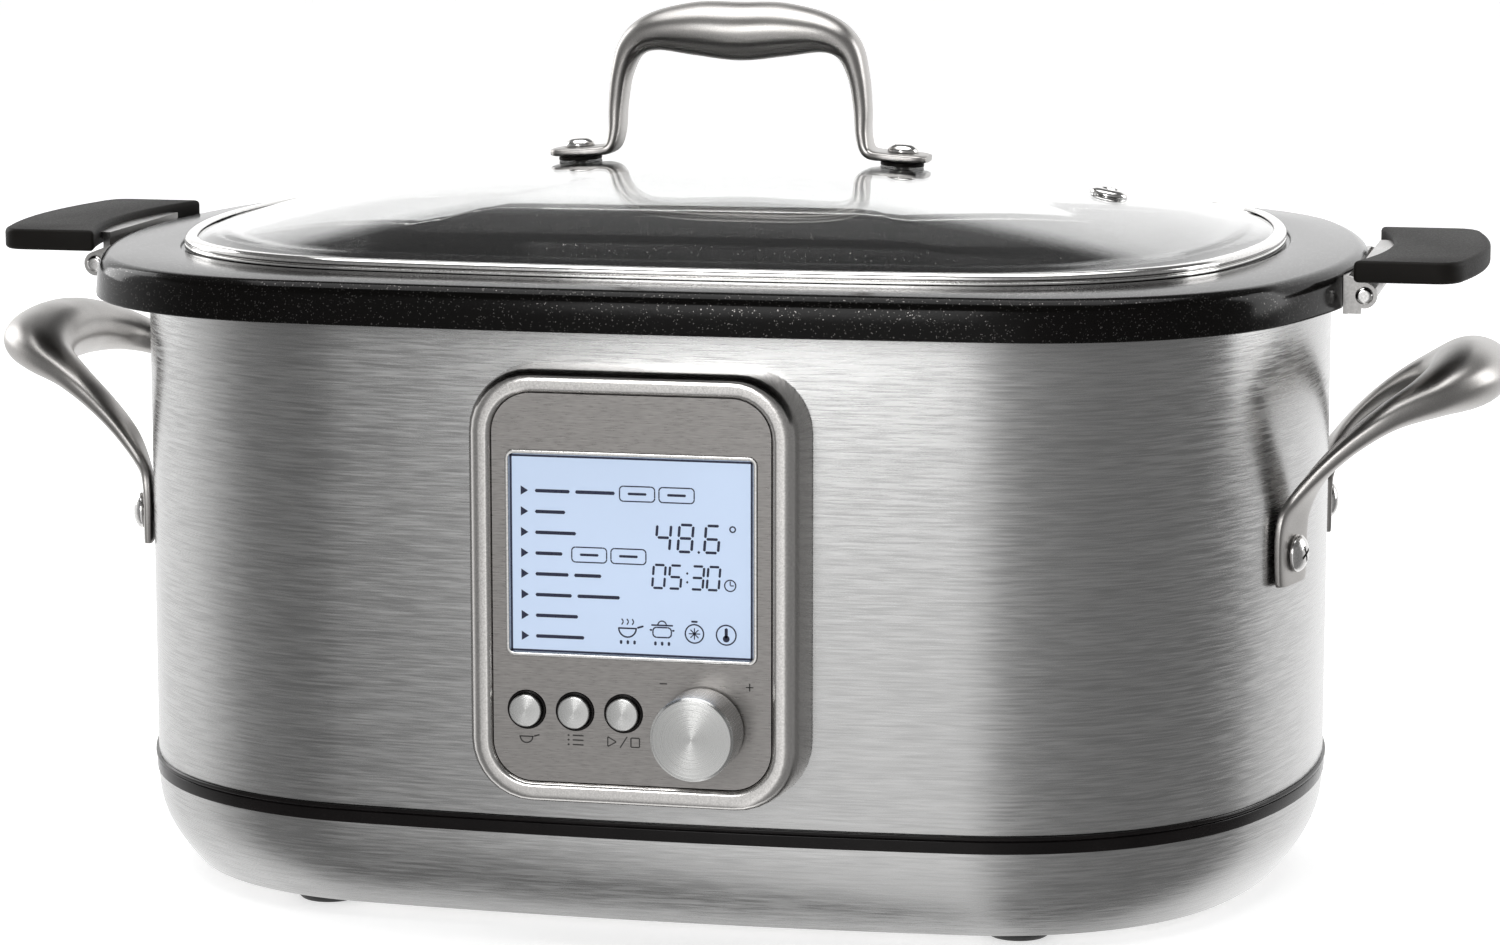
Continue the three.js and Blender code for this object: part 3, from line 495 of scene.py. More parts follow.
def make_world():
    """A plain studio: white to the camera, with bright and dim stretches round it for metal to show."""
    world = bpy.data.worlds.new("studio")
    bpy.context.scene.world = world
    world.use_nodes = True
    tree = world.node_tree
    background = tree.nodes["Background"]
    peak = 1.4  # the ramp's colours stay within 0 to 1, and the strength brings them up to this
    background.inputs["Strength"].default_value = peak
    where = tree.nodes.new("ShaderNodeTexCoord").outputs["Generated"]
    apart = tree.nodes.new("ShaderNodeSeparateXYZ")
    tree.links.new(where, apart.inputs[0])
    turn = tree.nodes.new("ShaderNodeMath")
    turn.operation = "ARCTAN2"
    tree.links.new(apart.outputs["X"], turn.inputs[0])
    tree.links.new(apart.outputs["Y"], turn.inputs[1])

    def share(value, start, full):
        node = tree.nodes.new("ShaderNodeMapRange")
        node.inputs["From Min"].default_value = start
        node.inputs["From Max"].default_value = full
        tree.links.new(value, node.inputs["Value"])
        return node.outputs[0]

    def grey(bright):
        return (bright / peak, bright / peak, bright / peak, 1)

    def covered(under, factor, bright):
        node = tree.nodes.new("ShaderNodeMix")
        node.data_type = "RGBA"
        node.inputs[7].default_value = grey(bright)
        tree.links.new(factor, node.inputs[0])
        tree.links.new(under, node.inputs[6])
        return node.outputs[2]

    ramp = tree.nodes.new("ShaderNodeValToRGB")
    ramp.color_ramp.interpolation = "B_SPLINE"
    tree.links.new(share(turn.outputs[0], -math.pi, math.pi), ramp.inputs[0])
    # Degrees clockwise from the back (+Y), and how bright the studio is there.
    bands = (
        (-180, 1.0), (-175, 1.05), (-168, 0.88), (-161, 0.5), (-153, 0.24), (-143, 0.2), (-112, 0.24),
        (-96, 0.55), (-80, 0.95), (-58, 0.98), (-34, 1.1), (-16, 1.35), (6, 1.25), (24, 1.1), (40, 0.9),
        (48, 0.7), (56, 0.42), (66, 0.27), (80, 0.22), (130, 0.22), (158, 0.34), (168, 0.5), (174, 0.8),
        (180, 1.0),
    )
    elements = ramp.color_ramp.elements
    while len(elements) > 1:
        elements.remove(elements[-1])
    for i, (degrees, bright) in enumerate(bands):
        element = elements[0] if i == 0 else elements.new((degrees + 180) / 360)
        element.position = (degrees + 180) / 360
        element.color = grey(bright)
    # The walls stop at a dim ceiling, with a bright panel in its middle. Each starts and is full so far up.
    walls = ramp.outputs[0]
    for start, full, bright in ((0.44, 0.53, 0.14), (0.9, 0.95, 1.1)):
        walls = covered(walls, share(apart.outputs["Z"], start, full), bright)
    seen = tree.nodes.new("ShaderNodeLightPath").outputs["Is Camera Ray"]
    tree.links.new(covered(walls, seen, 1), background.inputs[0])


def area_light(name, at, look_at, size, power):
    light = bpy.data.objects.new(name, bpy.data.lights.new(name, "AREA"))
    light.data.shape = "RECTANGLE"
    light.data.size, light.data.size_y = size
    light.data.energy = power
    light.location = at
    light.rotation_euler = (Vector(look_at) - Vector(at)).to_track_quat("-Z", "Y").to_euler()
    bpy.context.scene.collection.objects.link(light)


make_world()
area_light("top_softbox", (0.0, 0.1, 1.9), (0, 0, 0.1), (2.0, 1.4), 24)
area_light("front_softbox", (-0.35, -2.6, 1.0), (0, 0, 0.12), (0.8, 1.2), 14)
area_light("left_softbox", (-1.9, 1.0, 0.9), (0, 0, 0.12), (0.9, 1.4), 12)
area_light("right_softbox", (1.9, 1.0, 0.8), (0, 0, 0.12), (0.9, 1.4), 12)

FLOOR_REACH = 9000
corners = [(x * FLOOR_REACH, y * FLOOR_REACH, 0) for x, y in ((-1, -1), (1, -1), (1, 1), (-1, 1))]
floor = new_object("floor", corners, [(0, 1, 2, 3)], recalculate=False)
glow = {"Emission_Color": (1, 1, 1, 1), "Emission_Strength": 0.62}
pale = Nodes("pale_floor", (0.82, 0.82, 0.82), 0.0, 0.6, **glow)
pale.link(pale.spread(pale.noise(3.0, 2.0), 0.55, 0.65), "Roughness")
# Metal shows the studio all the way down and not the floor, as on a raised table with dark edges.
clear = pale.add("ShaderNodeBsdfTransparent").outputs[0]
glossy = pale.add("ShaderNodeLightPath").outputs["Is Glossy Ray"]
blended = pale.add("ShaderNodeMixShader", {0: glossy, 1: pale.shader.outputs[0], 2: clear}).outputs[0]
pale.tree.links.new(blended, pale.tree.nodes["Material Output"].inputs[0])
floor.data.materials.append(pale.material)

# ---------------------------------------------------------------- housing


def housing():
    bottom, top = heights("outer_shell")
    shell = loft_levels("shell_wrap", [
        (BODY, 0, bottom, 0.3), (BODY, 0, top, 0.6), (BODY, 1.2, top, 0.3), (BODY, 1.2, bottom, 0.3),
    ], True)
    dress(shell, BRUSHED, "housing", "outer_shell")

    floor_z, seat = heights("heating_well")
    well = loft_levels("well_liner", [
        (BODY, 42, floor_z, 0), (BODY, 26, floor_z, 8), (BODY, 14, floor_z + 12, 6), (BODY, 14, top, 2),
        (BODY, 0.3, top, 0.3), (BODY, 0.3, seat, 0.5), (BODY, 15.2, seat, 1.2),
        (BODY, 15.2, floor_z + 13, 6), (BODY, 27, floor_z + 1.5, 8), (BODY, 42, floor_z + 1.5, 0),
    ], False, 40)
    dress(well, WELL, "housing", "heating_well")

    plate_under, plate_top = heights("heating_plate")
    groove = plate_top - 0.5
    plate = loft_levels("cast_heating_plate", [
        (BODY, 58, plate_under, 0), (BODY, 55, plate_under, 1.5), (BODY, 55, plate_top, 1.4),
        (BODY, 58, plate_top, 0), (BODY, 70, plate_top, 0), (BODY, 70.8, groove, 0), (BODY, 73.2, groove, 0),
        (BODY, 74, plate_top, 0), (BODY, 90, plate_top, 0), (BODY, 90.8, groove, 0), (BODY, 93.2, groove, 0),
        (BODY, 94, plate_top, 0), (BODY, 100, plate_top, 0),
    ], False)
    hole = place(turned("tool", [(0, -20, 0), (9, -20, 0), (9, 20, 0), (0, 20, 0)]), (0, Y0, plate_top))
    dress(cut(plate, hole), CAST, "housing", "heating_plate")
    sensor_low, sensor_top = heights("temperature_sensor")
    sensor = turned("sensor_cap", [
        (0, sensor_low, 0), (8, sensor_low, 0), (8, sensor_top, 1.2), (5, sensor_top, 0.3),
        (4.7, sensor_top - 0.4, 0), (0, sensor_top - 0.4, 0),
    ])
    dress(place(sensor, (0, Y0, 0)), BRIGHT, "housing", "temperature_sensor")
    keep("heating_element", SATIN, 0.4)

    band_low, band_high = heights("base_band")
    band = loft_levels("black_band", [
        (BODY, -0.6, band_low, 0.3), (BODY, -0.6, band_high - 1.9, 0.2), (BODY, -0.1, band_high - 1.6, 0.15),
        (BODY, -0.1, band_high - 1.5, 0.15), (BODY, -1, band_high - 1.2, 0.3), (BODY, -1, band_high, 0.45),
        (BODY, 3, band_high, 0.3), (BODY, 3, band_low, 0.3),
    ], True, 50, 3)
    dress(band, GLOSS_BLACK, "housing", "base_band")

    skirt_low, skirt_high = heights("base_skirt")
    skirt_tall = skirt_high - skirt_low
    wall, lip, tuck = 1.6, 1.2, 12.8
    steps = np.linspace(1, 0, 15)
    bulge = tuck * (1 - np.cos(steps * math.pi / 2)) ** 1.25
    outside = [(BODY, b, skirt_high - skirt_tall * t, 0) for t, b in zip(steps, bulge)]
    inside = [(BODY, b + wall, skirt_high - (skirt_tall - lip) * t, 0) for t, b in zip(steps, bulge)][::-1]
    skirt = loft_levels("base_pan", outside + inside, True, 40)
    dress(skirt, BRUSHED, "housing", "base_skirt")
    keep("bottom_plate", WELL, 0.3)

    for _, end in ENDS:
        for _, side in SIDES:
            low, high = node_mm(f"foot_{end}_{side}")
            middle = (low + high) / 2
            tall = high[2]
            foot = turned(f"rubber_foot_{end}_{side}", [
                (5.4, 0, 0.4), (9.4, 0, 0.8), (11.6, 2.4, 1), (11.6, tall, 0.3), (2.4, tall, 0.1),
                (2.4, 2, 0.1), (5.4, 2, 0.3),
            ])
            place(foot, (middle[0], middle[1], 0))
            dress(foot, FOOT_RUBBER, "housing", f"foot_{end}_{side}")
            screw_top = heights(f"foot_screw_{end}_{side}")[1]
            screw = turned(f"sole_screw_{end}_{side}", [
                (0, 0.6, 0), (4.2, 0.6, 0.4), (4.8, 1.2, 0.2), (4.8, 2, 0.2), (2, 2, 0),
                (2, screw_top - 1.5, 0), (0, screw_top, 0),
            ], 32)
            place(screw, (middle[0], middle[1], 0))
            slots = [place(tool, (middle[0], middle[1], 0)) for tool in cross_slots(3, 0.5, -1, 1.3)]
            dress(cut(screw, *slots), PLATED, "housing", f"foot_screw_{end}_{side}")

    low, high = node_mm("cord_gland")
    middle = (low + high) / 2
    back = high[1]
    gland = turned("cord_sleeve", [
        (3.6, -16, 0.3), (8.5, -16, 0.4), (8.5, -14, 0.3), (6.5, -14, 0.2), (6.5, -10.4, 0.2),
        (8, -10.4, 0.6), (7.9, -8.6, 0.4), (7.2, -8.2, 0.2), (7.2, -7, 0.2), (7.8, -6.6, 0.4),
        (7.6, -5, 0.4), (6.9, -4.6, 0.2), (6.9, -3.4, 0.2), (7.4, -3, 0.4), (7, 0, 0.7), (3.6, 0, 0.6),
    ])
    place(gland, (middle[0], back, middle[2]), (-90, "X"))
    dress(gland, MATTE_BLACK, "housing", "cord_gland")


# ---------------------------------------------------------------- pot and its grips


def pot():
    base, crown = heights("cooking_pot")
    seat = heights("heating_well")[1]
    rim_bottom, lid_seat, shoulder = 200.6, 213.9, 196.0
    vessel = loft_levels("enamelled_pot", [
        (BODY, 50, base, 0), (BODY, 33, base, 6), (BODY, 25.5, base + 11, 8), (BODY, 20, shoulder, 3),
        (BODY, 20, seat, 1), (RIM, 6, seat, 1.5), (RIM, 6, rim_bottom, 0.8), (RIM, 0, rim_bottom, 1.0),
        (RIM, 0.9, crown - 4.4, 2), (RIM, 3.4, crown - 1.2, 2.4), (LID, -1.6, crown, 0.5),
        (LID, -1.2, lid_seat, 0.4), (LID, 8, lid_seat, 2), (BODY, 22.5, 204, 5), (BODY, 27.5, base + 14, 9),
        (BODY, 36, base + 3.6, 5), (BODY, 50, base + 3.2, 0),
    ], False, 40)
    recesses = []
    recess_x, recess_half, recess_z = (212.4, 232), 52, (191.5, 211.5)
    recess_y = (Y0 - recess_half, Y0 + recess_half)
    for sign in (1, -1):
        x = sorted(sign * value for value in recess_x)
        recesses.append(box_tool(*zip(x, recess_y, recess_z)))
    dress(cut(vessel, *recesses), ENAMEL, "pot", "cooking_pot")

    for sign, side in SIDES:
        keep(f"pot_bracket_{side}", BRACKET, 0.25)
        keep(f"pot_handle_arm_{side}", BRACKET, 0.25)
        pin_low, pin_high = node_mm(f"hinge_pin_{side}")
        middle = (pin_low + pin_high) / 2
        half = (pin_high - pin_low)[1] / 2
        pin = turned(f"grip_pin_{side}", [
            (0, -half, 0), (2.4, -half, 0.8), (3, -half + 1.6, 0.2), (2, -half + 1.6, 0), (2, half - 1.6, 0),
            (3, half - 1.6, 0.2), (2.4, half, 0.8), (0, half, 0),
        ], 32)
        dress(place(pin, middle, (-90, "X")), BRIGHT, "pot", f"hinge_pin_{side}")
        for _, end in ENDS:
            low, high = node_mm(f"bracket_rivet_{side}_{end}")
            middle = (low + high) / 2
            x = low[0] if sign > 0 else high[0]
            rivet = turned(f"ear_rivet_{side}_{end}", [
                (0, 0, 0), (1.8, 0, 0.2), (1.8, 5.1, 0), (3.4, 5.1, 0.2), (3.1, 5.6, 0.4), (1.6, 6.1, 0.6),
                (0, 6.1, 0),
            ], 32)
            place(rivet, (0, 0, 0), (90, "Y"))
            place(mirrored(rivet, sign), (x, middle[1], middle[2]))
            dress(rivet, PLATED, "pot", f"bracket_rivet_{side}_{end}")
        grip(sign, side)


def quadratic(a, b, c, steps):
    t = np.linspace(0, 1, steps, endpoint=False)[:, None]
    return (1 - t) ** 2 * np.array(a) + 2 * t * (1 - t) * np.array(b) + t**2 * np.array(c)


def grip(sign, side):
    """The silicone wing: a concave edge along the rim, a gently convex outer edge and soft edges."""
    node = f"pot_handle_grip_{side}"
    low, high = node_mm(node)
    half, inner, outer = 56.0, 216.3, 251.0
    turn, corner, edge, bow, hollow = outer - 8, half - 12, outer + 1.5, outer + 11, inner + 17
    points = np.concatenate([
        np.array([(inner, -half)]),
        quadratic((turn, -half), (outer, -half), (edge, -corner), 6),
        quadratic((edge, -corner), (bow, 0), (edge, corner), 16),
        quadratic((edge, corner), (outer, half), (turn, half), 6),
        np.array([(turn, half)]),
        quadratic((inner, half), (hollow, 0), (inner, -half), 20),
    ])
    count = len(points)
    vertices = [(x, y + Y0, z) for z in (low[2], high[2]) for x, y in points]
    faces = [(i, (i + 1) % count, count + (i + 1) % count, count + i) for i in range(count)]
    faces += [tuple(range(count))[::-1], tuple(range(count, 2 * count))]
    wing = mirrored(new_object(f"silicone_wing_{side}", vertices, faces), sign)
    bevelled(wing, 1.5, 4, 50)
    applied(wing)
    smooth(wing, 60)
    dress(wing, SILICONE, f"pot_handle_{side}", node)


# ---------------------------------------------------------------- lid

DOME_EDGE, DOME_RISE, DOME_POWER = 217.9, 23.4, 2.5
DOME_EDGE_X = 182.0
GLASS_BOTTOM, GLASS_THICK = 215.0, 3.5
LID_RIVET_X, VENT_X = 57.0, 128.5


def dome_height(share):
    return DOME_EDGE + DOME_RISE * (1 - share**DOME_POWER)


def on_dome(x):
    share = x / DOME_EDGE_X
    slope = math.atan(DOME_POWER * DOME_RISE * share ** (DOME_POWER - 1) / DOME_EDGE_X)
    return dome_height(share), slope


def lid():
    edge = outline(LID, 6)
    shares = np.concatenate([np.linspace(1, 0.1, 26), [0.04]])

    def dome(drop, z_edge=None):
        rings = []
        for share in shares:
            z = np.full(len(edge), dome_height(share) - drop)
            rings.append(np.column_stack([edge[:, 0] * share, edge[:, 1] * share + Y0, z]))
        if z_edge:
            rings[0][:, 2] = z_edge
        return rings

    under = dome(GLASS_THICK, GLASS_BOTTOM)[::-1]
    edges = [level(LID, 2.0, GLASS_BOTTOM), level(LID, 2.0, DOME_EDGE)]
    glass = loft("domed_glass", [*under, *edges, *dome(0)], False, 60)
    dress(glass, GLASS, "lid", "lid_glass")

    low, top = heights("lid_rim")
    channel = loft_levels("rolled_rim", [
        (LID, 1, low, 0.4), (LID, 0, low + 0.8, 0.4), (LID, 0, low + 2.1, 0.25), (LID, 0.5, low + 2.4, 0.15),
        (LID, 0, low + 2.7, 0.25), (LID, 0, top - 1, 0.6), (LID, 1.2, top, 0.6), (LID, 4.2, top, 0.35),
        (LID, 4.4, top - 0.8, 0.1), (LID, 1.7, top - 0.8, 0), (LID, 1.7, low + 0.9, 0),
        (LID, 5, low + 0.9, 0.2), (LID, 5, low, 0.3),
    ], True, 50, 3)
    dress(channel, BRIGHT, "lid", "lid_rim")
    lid_handle()

    for sign, side in SIDES:
        z, slope = on_dome(LID_RIVET_X)
        tilt = (math.degrees(slope), "Y")
        washer = turned(f"silicone_washer_{side}", [
            (2.9, 0.05, 0.1), (7.5, 0.05, 0.3), (7.5, 1.25, 0.3), (2.9, 1.25, 0.1),
        ])
        rivet = turned(f"domed_rivet_{side}", [
            (0, -5.6, 0), (5, -5.6, 0.4), (5, -4.2, 0.2), (2.4, -4.2, 0), (2.4, 4.9, 0), (5.4, 4.9, 0.2),
            (5.3, 5.8, 0.6), (4, 7, 1), (2.4, 7.5, 0.8), (0, 7.6, 0),
        ])
        for obj, material, node, slot in (
            (washer, SILICONE, "lid_washer", "black_silicone"),
            (rivet, BRIGHT, "lid_rivet", "polished_steel"),
        ):
            mirrored(place(obj, (LID_RIVET_X, 0, z), tilt), sign)
            dress(place(obj, (0, Y0, 0)), material, "lid", f"{node}_{side}")
    z, slope = on_dome(VENT_X)
    grommet = turned("vent_eyelet", [
        (2, -5, 0.2), (6.4, -5, 0.3), (6.4, -4.3, 0.2), (4.2, -4.3, 0), (4.2, 0.3, 0), (6.6, 0.1, 0.2),
        (6.4, 1.2, 0.7), (4.4, 2.1, 0.9), (3.0, 2.1, 0.4), (2, 1.2, 0.6),
    ])
    place(grommet, (VENT_X, Y0, z), (math.degrees(slope), "Y"))
    dress(grommet, BRIGHT, "lid", "vent_grommet")


def lid_handle():
    z, slope = on_dome(LID_RIVET_X)

    def pad(x):
        return z + 3.1 - (x - LID_RIVET_X) * math.tan(slope)

    # Stations outwards to inwards: (x, height, lean, half across, half up, squareness).
    half = [
        (66.3, pad(66.5), slope, 6.2, 1.2, 3.5), (63, pad(63), slope, 8.8, 1.5, 4),
        (52, pad(52), slope, 9, 1.6, 4.5), (45.8, pad(45.8) + 0.8, 0.6, 8, 1.9, 3.5),
        (43.7, 250, 1.5, 7.5, 2.4, 3), (43.2, 260, 1.5, 7, 2.9, 2.8), (41.6, 271, 1.42, 7.5, 3.5, 2.5),
        (37.8, 280.2, 0.9, 8.5, 4.9, 2.3), (29.5, 285, 0.25, 10, 6.8, 2.1), (15, 286, 0.06, 11.5, 9.3, 2),
    ]

    def station(sign, x, height, lean, across, up, squareness):
        return (sign * x, Y0, height), (sign * math.sin(lean), 0, math.cos(lean)), across, up, squareness

    stations = [station(-1, *s) for s in half] + [station(1, 0, 285.3, 0, 12, 10.1, 2)]
    stations += [station(1, *s) for s in half[::-1]]
    dress(sweep("arched_lid_handle", stations), SATIN, "lid", "lid_handle")


# ---------------------------------------------------------------- side handles

FOOT_Y, FOOT_Z = 55.0, 120.0
FOOT_TURN = math.asin(FOOT_Y / BODY[3])
FOOT_X = BODY[0] - BODY[3] * (1 - math.cos(FOOT_TURN))


def side_handles():
    cos_turn, sin_turn = math.cos(FOOT_TURN), math.sin(FOOT_TURN)

    def foot(z, half_across, squareness):
        x, y = FOOT_X + 2 * cos_turn, FOOT_Y + 2 * sin_turn
        return (x, y, z, 90, half_across, 1.6, FOOT_TURN, squareness)

    # Stations from the foot up: (x, y, z, degrees, half across, half up, aside, squareness).
    half = [
        foot(FOOT_Z - 10, 8.6, 3), foot(FOOT_Z - 8.4, 11.6, 4), foot(FOOT_Z + 8, 12, 5),
        (FOOT_X + 4.2, 54.5, 136, 76, 9.5, 2.2, FOOT_TURN, 3.5), (207, 53, 146.5, 55, 8, 2.9, 0.1, 2.8),
        (217, 51, 156.5, 40, 7.5, 3.6, 0, 2.5), (229, 47, 165, 30, 8.5, 4.8, 0, 2.3),
        (242, 38, 171, 20, 11, 7.4, 0, 2.1), (250, 22, 173.8, 8, 13, 9.8, 0, 2),
    ]

    def station(sign, x, y, z, degrees, across, up, aside, squareness):
        lean = math.radians(degrees)
        back = math.sin(lean)
        direction = (-back * math.cos(aside), -sign * back * math.sin(aside), math.cos(lean))
        return (x, sign * y, z), direction, across, up, squareness

    stations = [station(-1, *s) for s in half] + [station(1, 252, 0, 174.5, 0, 13.5, 10.9, 0, 2)]
    stations += [station(1, *s) for s in half[::-1]]
    for sign, side in SIDES:
        handle = place(mirrored(sweep(f"cast_side_handle_{side}", stations), sign), (0, Y0, 0))
        dress(handle, SATIN, "housing", f"side_handle_{side}")
        for end_sign, end in ENDS:
            screw = turned(f"handle_screw_{side}_{end}", [
                (0, -6, 0), (2.2, -6, 0.3), (2.2, 4, 0), (6.2, 4, 0.2), (6.2, 5, 0.4), (5.2, 6.2, 0.8),
                (3, 7.2, 0.9), (0, 7.4, 0),
            ])
            cut(screw, *cross_slots(2.9, 0.55, 5.2, 9))
            turn = end_sign * math.degrees(FOOT_TURN)
            place(screw, (FOOT_X, end_sign * FOOT_Y, FOOT_Z), (25, "Z"), (90, "Y"), (turn, "Z"))
            place(mirrored(screw, sign), (0, Y0, 0))
            dress(screw, PLATED, "housing", f"side_handle_screw_{side}_{end}")


# ---------------------------------------------------------------- control panel


def at_panel(ring, y):
    """A ring of (x, z) points at a depth y."""
    return np.column_stack([ring[:, 0], np.full(len(ring), y), ring[:, 1]])


def frame_loft(name, centre, width, height, radius, profile, angle=40, steps=4):
    """A frame of rounded rectangles from (inset, y, round), with an optional extra half width."""
    rings = []
    for inset, y, _, *extra in profile:
        wide = width - 2 * inset + 2 * sum(extra)
        points = rounded_rectangle(wide, height - 2 * inset, max(radius - inset, 0.3))
        rings.append(at_panel(points + np.array(centre), y))
    return loft(name, rounded(rings, [p[2] for p in profile], True, steps), True, angle)


def front_size(low, high):
    return high[0] - low[0], high[2] - low[2]


PANEL_Z, SCREEN_Z = 117.8, 129.0
BUTTON_Z, BUTTON_X = 78.3, (-34.4, -18.5, -2.6)
KNOB_X, KNOB_Z = 23.4, 74.5


def panel():
    low, high = node_mm("panel_bezel")
    front, back = low[1], high[1]
    face_low, face_high = node_mm("panel_face")
    face_front, face_back = face_low[1], face_high[1]
    corner_radius, foot_flare, shoulder_flare = 20, 2.2, 0.9
    bezel = frame_loft("pressed_bezel", (0, PANEL_Z), *front_size(low, high), corner_radius, [
        (-0.4, back - 0.5, 0.3, foot_flare), (-0.2, front + 3.4, 2.4, shoulder_flare),
        (1.4, front + 0.1, 1.8), (5.8, front + 0.1, 0.8), (6.9, face_front - 0.1, 0.8), (7, face_back, 0.2),
        (1.6, face_back, 0.3), (1.6, back - 0.5, 0.3),
    ], 50, 6)
    dress(bezel, POLISHED, "housing", "panel_bezel")

    def round_hole(x, z, radius):
        tool = turned("tool", [(0, -20, 0), (radius, -20, 0), (radius, 20, 0), (0, 20, 0)], 64)
        return place(tool, (x, face_front, z), (90, "X"))

    face_outline = rounded_rectangle(*front_size(face_low, face_high), 12.9, 14)
    plate = prism("inner_plate", face_outline + np.array([0, PANEL_Z]), face_front, face_back)
    frame_low, frame_high = node_mm("screen_frame")
    wide, tall = front_size(frame_low, frame_high)
    gap = 0.2
    window = rounded_rectangle(wide + gap, tall + gap, 2.9) + np.array([0, SCREEN_Z])
    tools = [prism("tool", window, face_front - 5, face_back + 5), round_hole(KNOB_X, KNOB_Z, 4)]
    tools += [round_hole(x, BUTTON_Z, 6.4) for x in BUTTON_X]
    dress(cut(plate, *tools), FACE, "housing", "panel_face")

    front_y = frame_low[1]
    trim = frame_loft("screen_trim", (0, SCREEN_Z), wide, tall, 2.8, [
        (0, face_back, 0), (0, front_y, 0.35), (1.2, front_y, 0.35), (1.2, face_back, 0),
    ], 50)
    dress(trim, BRIGHT, "housing", "screen_frame")
    window_low, window_high = node_mm("screen_window")
    pane_outline = rounded_rectangle(*front_size(window_low, window_high), 1.4)
    pane = prism("display_pane", pane_outline + np.array([0, SCREEN_Z]), window_low[1], window_high[1])
    dress(pane, DISPLAY, "housing", "screen_window")
    keep("display_module", MATTE_BLACK, 0.3)
    keep("control_board", BOARD, 0.2)
    keep("button_switch_strip", MATTE_BLACK, 0.2)
    keep("knob_encoder", SATIN, 0.2)

    for i, x in enumerate(BUTTON_X, 1):
        ring_front = node_mm(f"button_ring_{i}")[0][1]
        depth = face_back - ring_front
        section = [(5.5, 0, 0), (6.2, 0, 0), (6.2, depth, 0.25), (5.5, depth, 0.2)]
        ring = place(turned(f"button_collar_{i}", section, 64), (x, face_back, BUTTON_Z), (90, "X"))
        dress(ring, GLOSS_BLACK, "housing", f"button_ring_{i}")
        low, high = node_mm(f"button_{i}")
        tall = high[1] - low[1]
        cap = turned(f"spun_button_{i}", [
            (0, 0, 0), (2.5, 0, 0.2), (2.5, 1.2, 0), (5.9, 2.4, 0), (5.9, 2.8, 0), (5.2, 3.4, 0),
            (5.2, tall, 0.45), (0, tall, 0),
        ], 64)
        place(cap, (x, high[1], BUTTON_Z), (90, "X"))
        dress(cap, SPUN_BUTTON, f"button_{i}", f"button_{i}")

    low, high = node_mm("knob")
    tall = high[1] - low[1]
    knob = turned("spun_knob", [
        (0, 11.9, 0), (3.2, 11.9, 0), (3.2, 0, 0), (12.9, 0, 0.2), (13.5, 0.5, 0.2),
        (13.5, tall - 0.8, 0.15), (12.7, tall, 0.15), (0, tall, 0),
    ], 96, 25)
    dress(place(knob, (KNOB_X, high[1], KNOB_Z), (90, "X")), SPUN_KNOB, "knob", "knob")
    keep("knob_shaft", PLATED, 0.2)
    screen_marks(window_low[1])
    printed_marks(face_front)


# ---------------------------------------------------------------- marks on the screen and the panel


class Sheet:
    """Flat marks in the panel's plane, gathered into one thin piece."""

    def __init__(self, front, thickness):
        self.front, self.back = front - thickness, front
        self.vertices, self.faces = [], []

    def shape(self, points):
        start, count = len(self.vertices), len(points)
        half = start + count
        self.vertices += [(x, y, z) for y in (self.front, self.back) for x, z in points]
        for i in range(count):
            after = (i + 1) % count
            self.faces.append((start + i, start + after, half + after, half + i))
        self.faces += [tuple(range(start, half))[::-1], tuple(range(half, half + count))]

    def bar(self, x0, z0, x1, z1, width):
        """A straight stroke with clipped ends."""
        a, b = np.array([x0, z0], float), np.array([x1, z1], float)
        along = (b - a) / np.linalg.norm(b - a)
        side = np.array([-along[1], along[0]]) * width / 2
        tip = along * width * 0.35
        self.shape([a - side + tip, b - side - tip, b, b + side - tip, a + side + tip, a])

    def ring(self, x, z, radius, width, start=0.0, stop=360.0, steps=28):
        angles = np.radians(np.linspace(start, stop, steps + 1))
        unit = np.stack([np.cos(angles), np.sin(angles)], 1)
        for i in range(steps):
            a, b, inner = unit[i], unit[i + 1], radius - width
            self.shape([np.array([x, z]) + p for p in (a * radius, b * radius, b * inner, a * inner)])

    def box(self, x0, z0, x1, z1, width):
        r = 1.2
        left, right, low, high = x0 + r, x1 - r, z0 + r, z1 - r
        for z in (z1, z0):
            self.bar(left, z, right, z, width)
        for x in (x0, x1):
            self.bar(x, low, x, high, width)
        for x, z, start in ((right, high, 0), (left, high, 90), (left, low, 180), (right, low, 270)):
            self.ring(x, z, r + width / 2, width, start, start + 90, 5)

    def digit(self, value, x, z, height, width, slant=0.08):
        """A seven-segment digit with its lower left corner at x, z."""
        lit = {0: "abcdef", 3: "abgcd", 4: "fgbc", 5: "afgcd", 6: "afgedc", 8: "abcdefg"}[value]
        wide, mid, gap = height * 0.52, height / 2, width * 0.4
        strokes = {
            "a": (gap, height, wide - gap, height),
            "g": (gap, mid, wide - gap, mid), "d": (gap, 0, wide - gap, 0),
            "f": (0, mid + gap, 0, height - gap), "b": (wide, mid + gap, wide, height - gap),
            "e": (0, gap, 0, mid - gap), "c": (wide, gap, wide, mid - gap),
        }
        for s in lit:
            x0, z0, x1, z1 = strokes[s]
            self.bar(x + x0 + z0 * slant, z + z0, x + x1 + z1 * slant, z + z1, width)

    def made(self, name, material, slot):
        return dress(new_object(name, self.vertices, self.faces, 30), material, "housing", None)


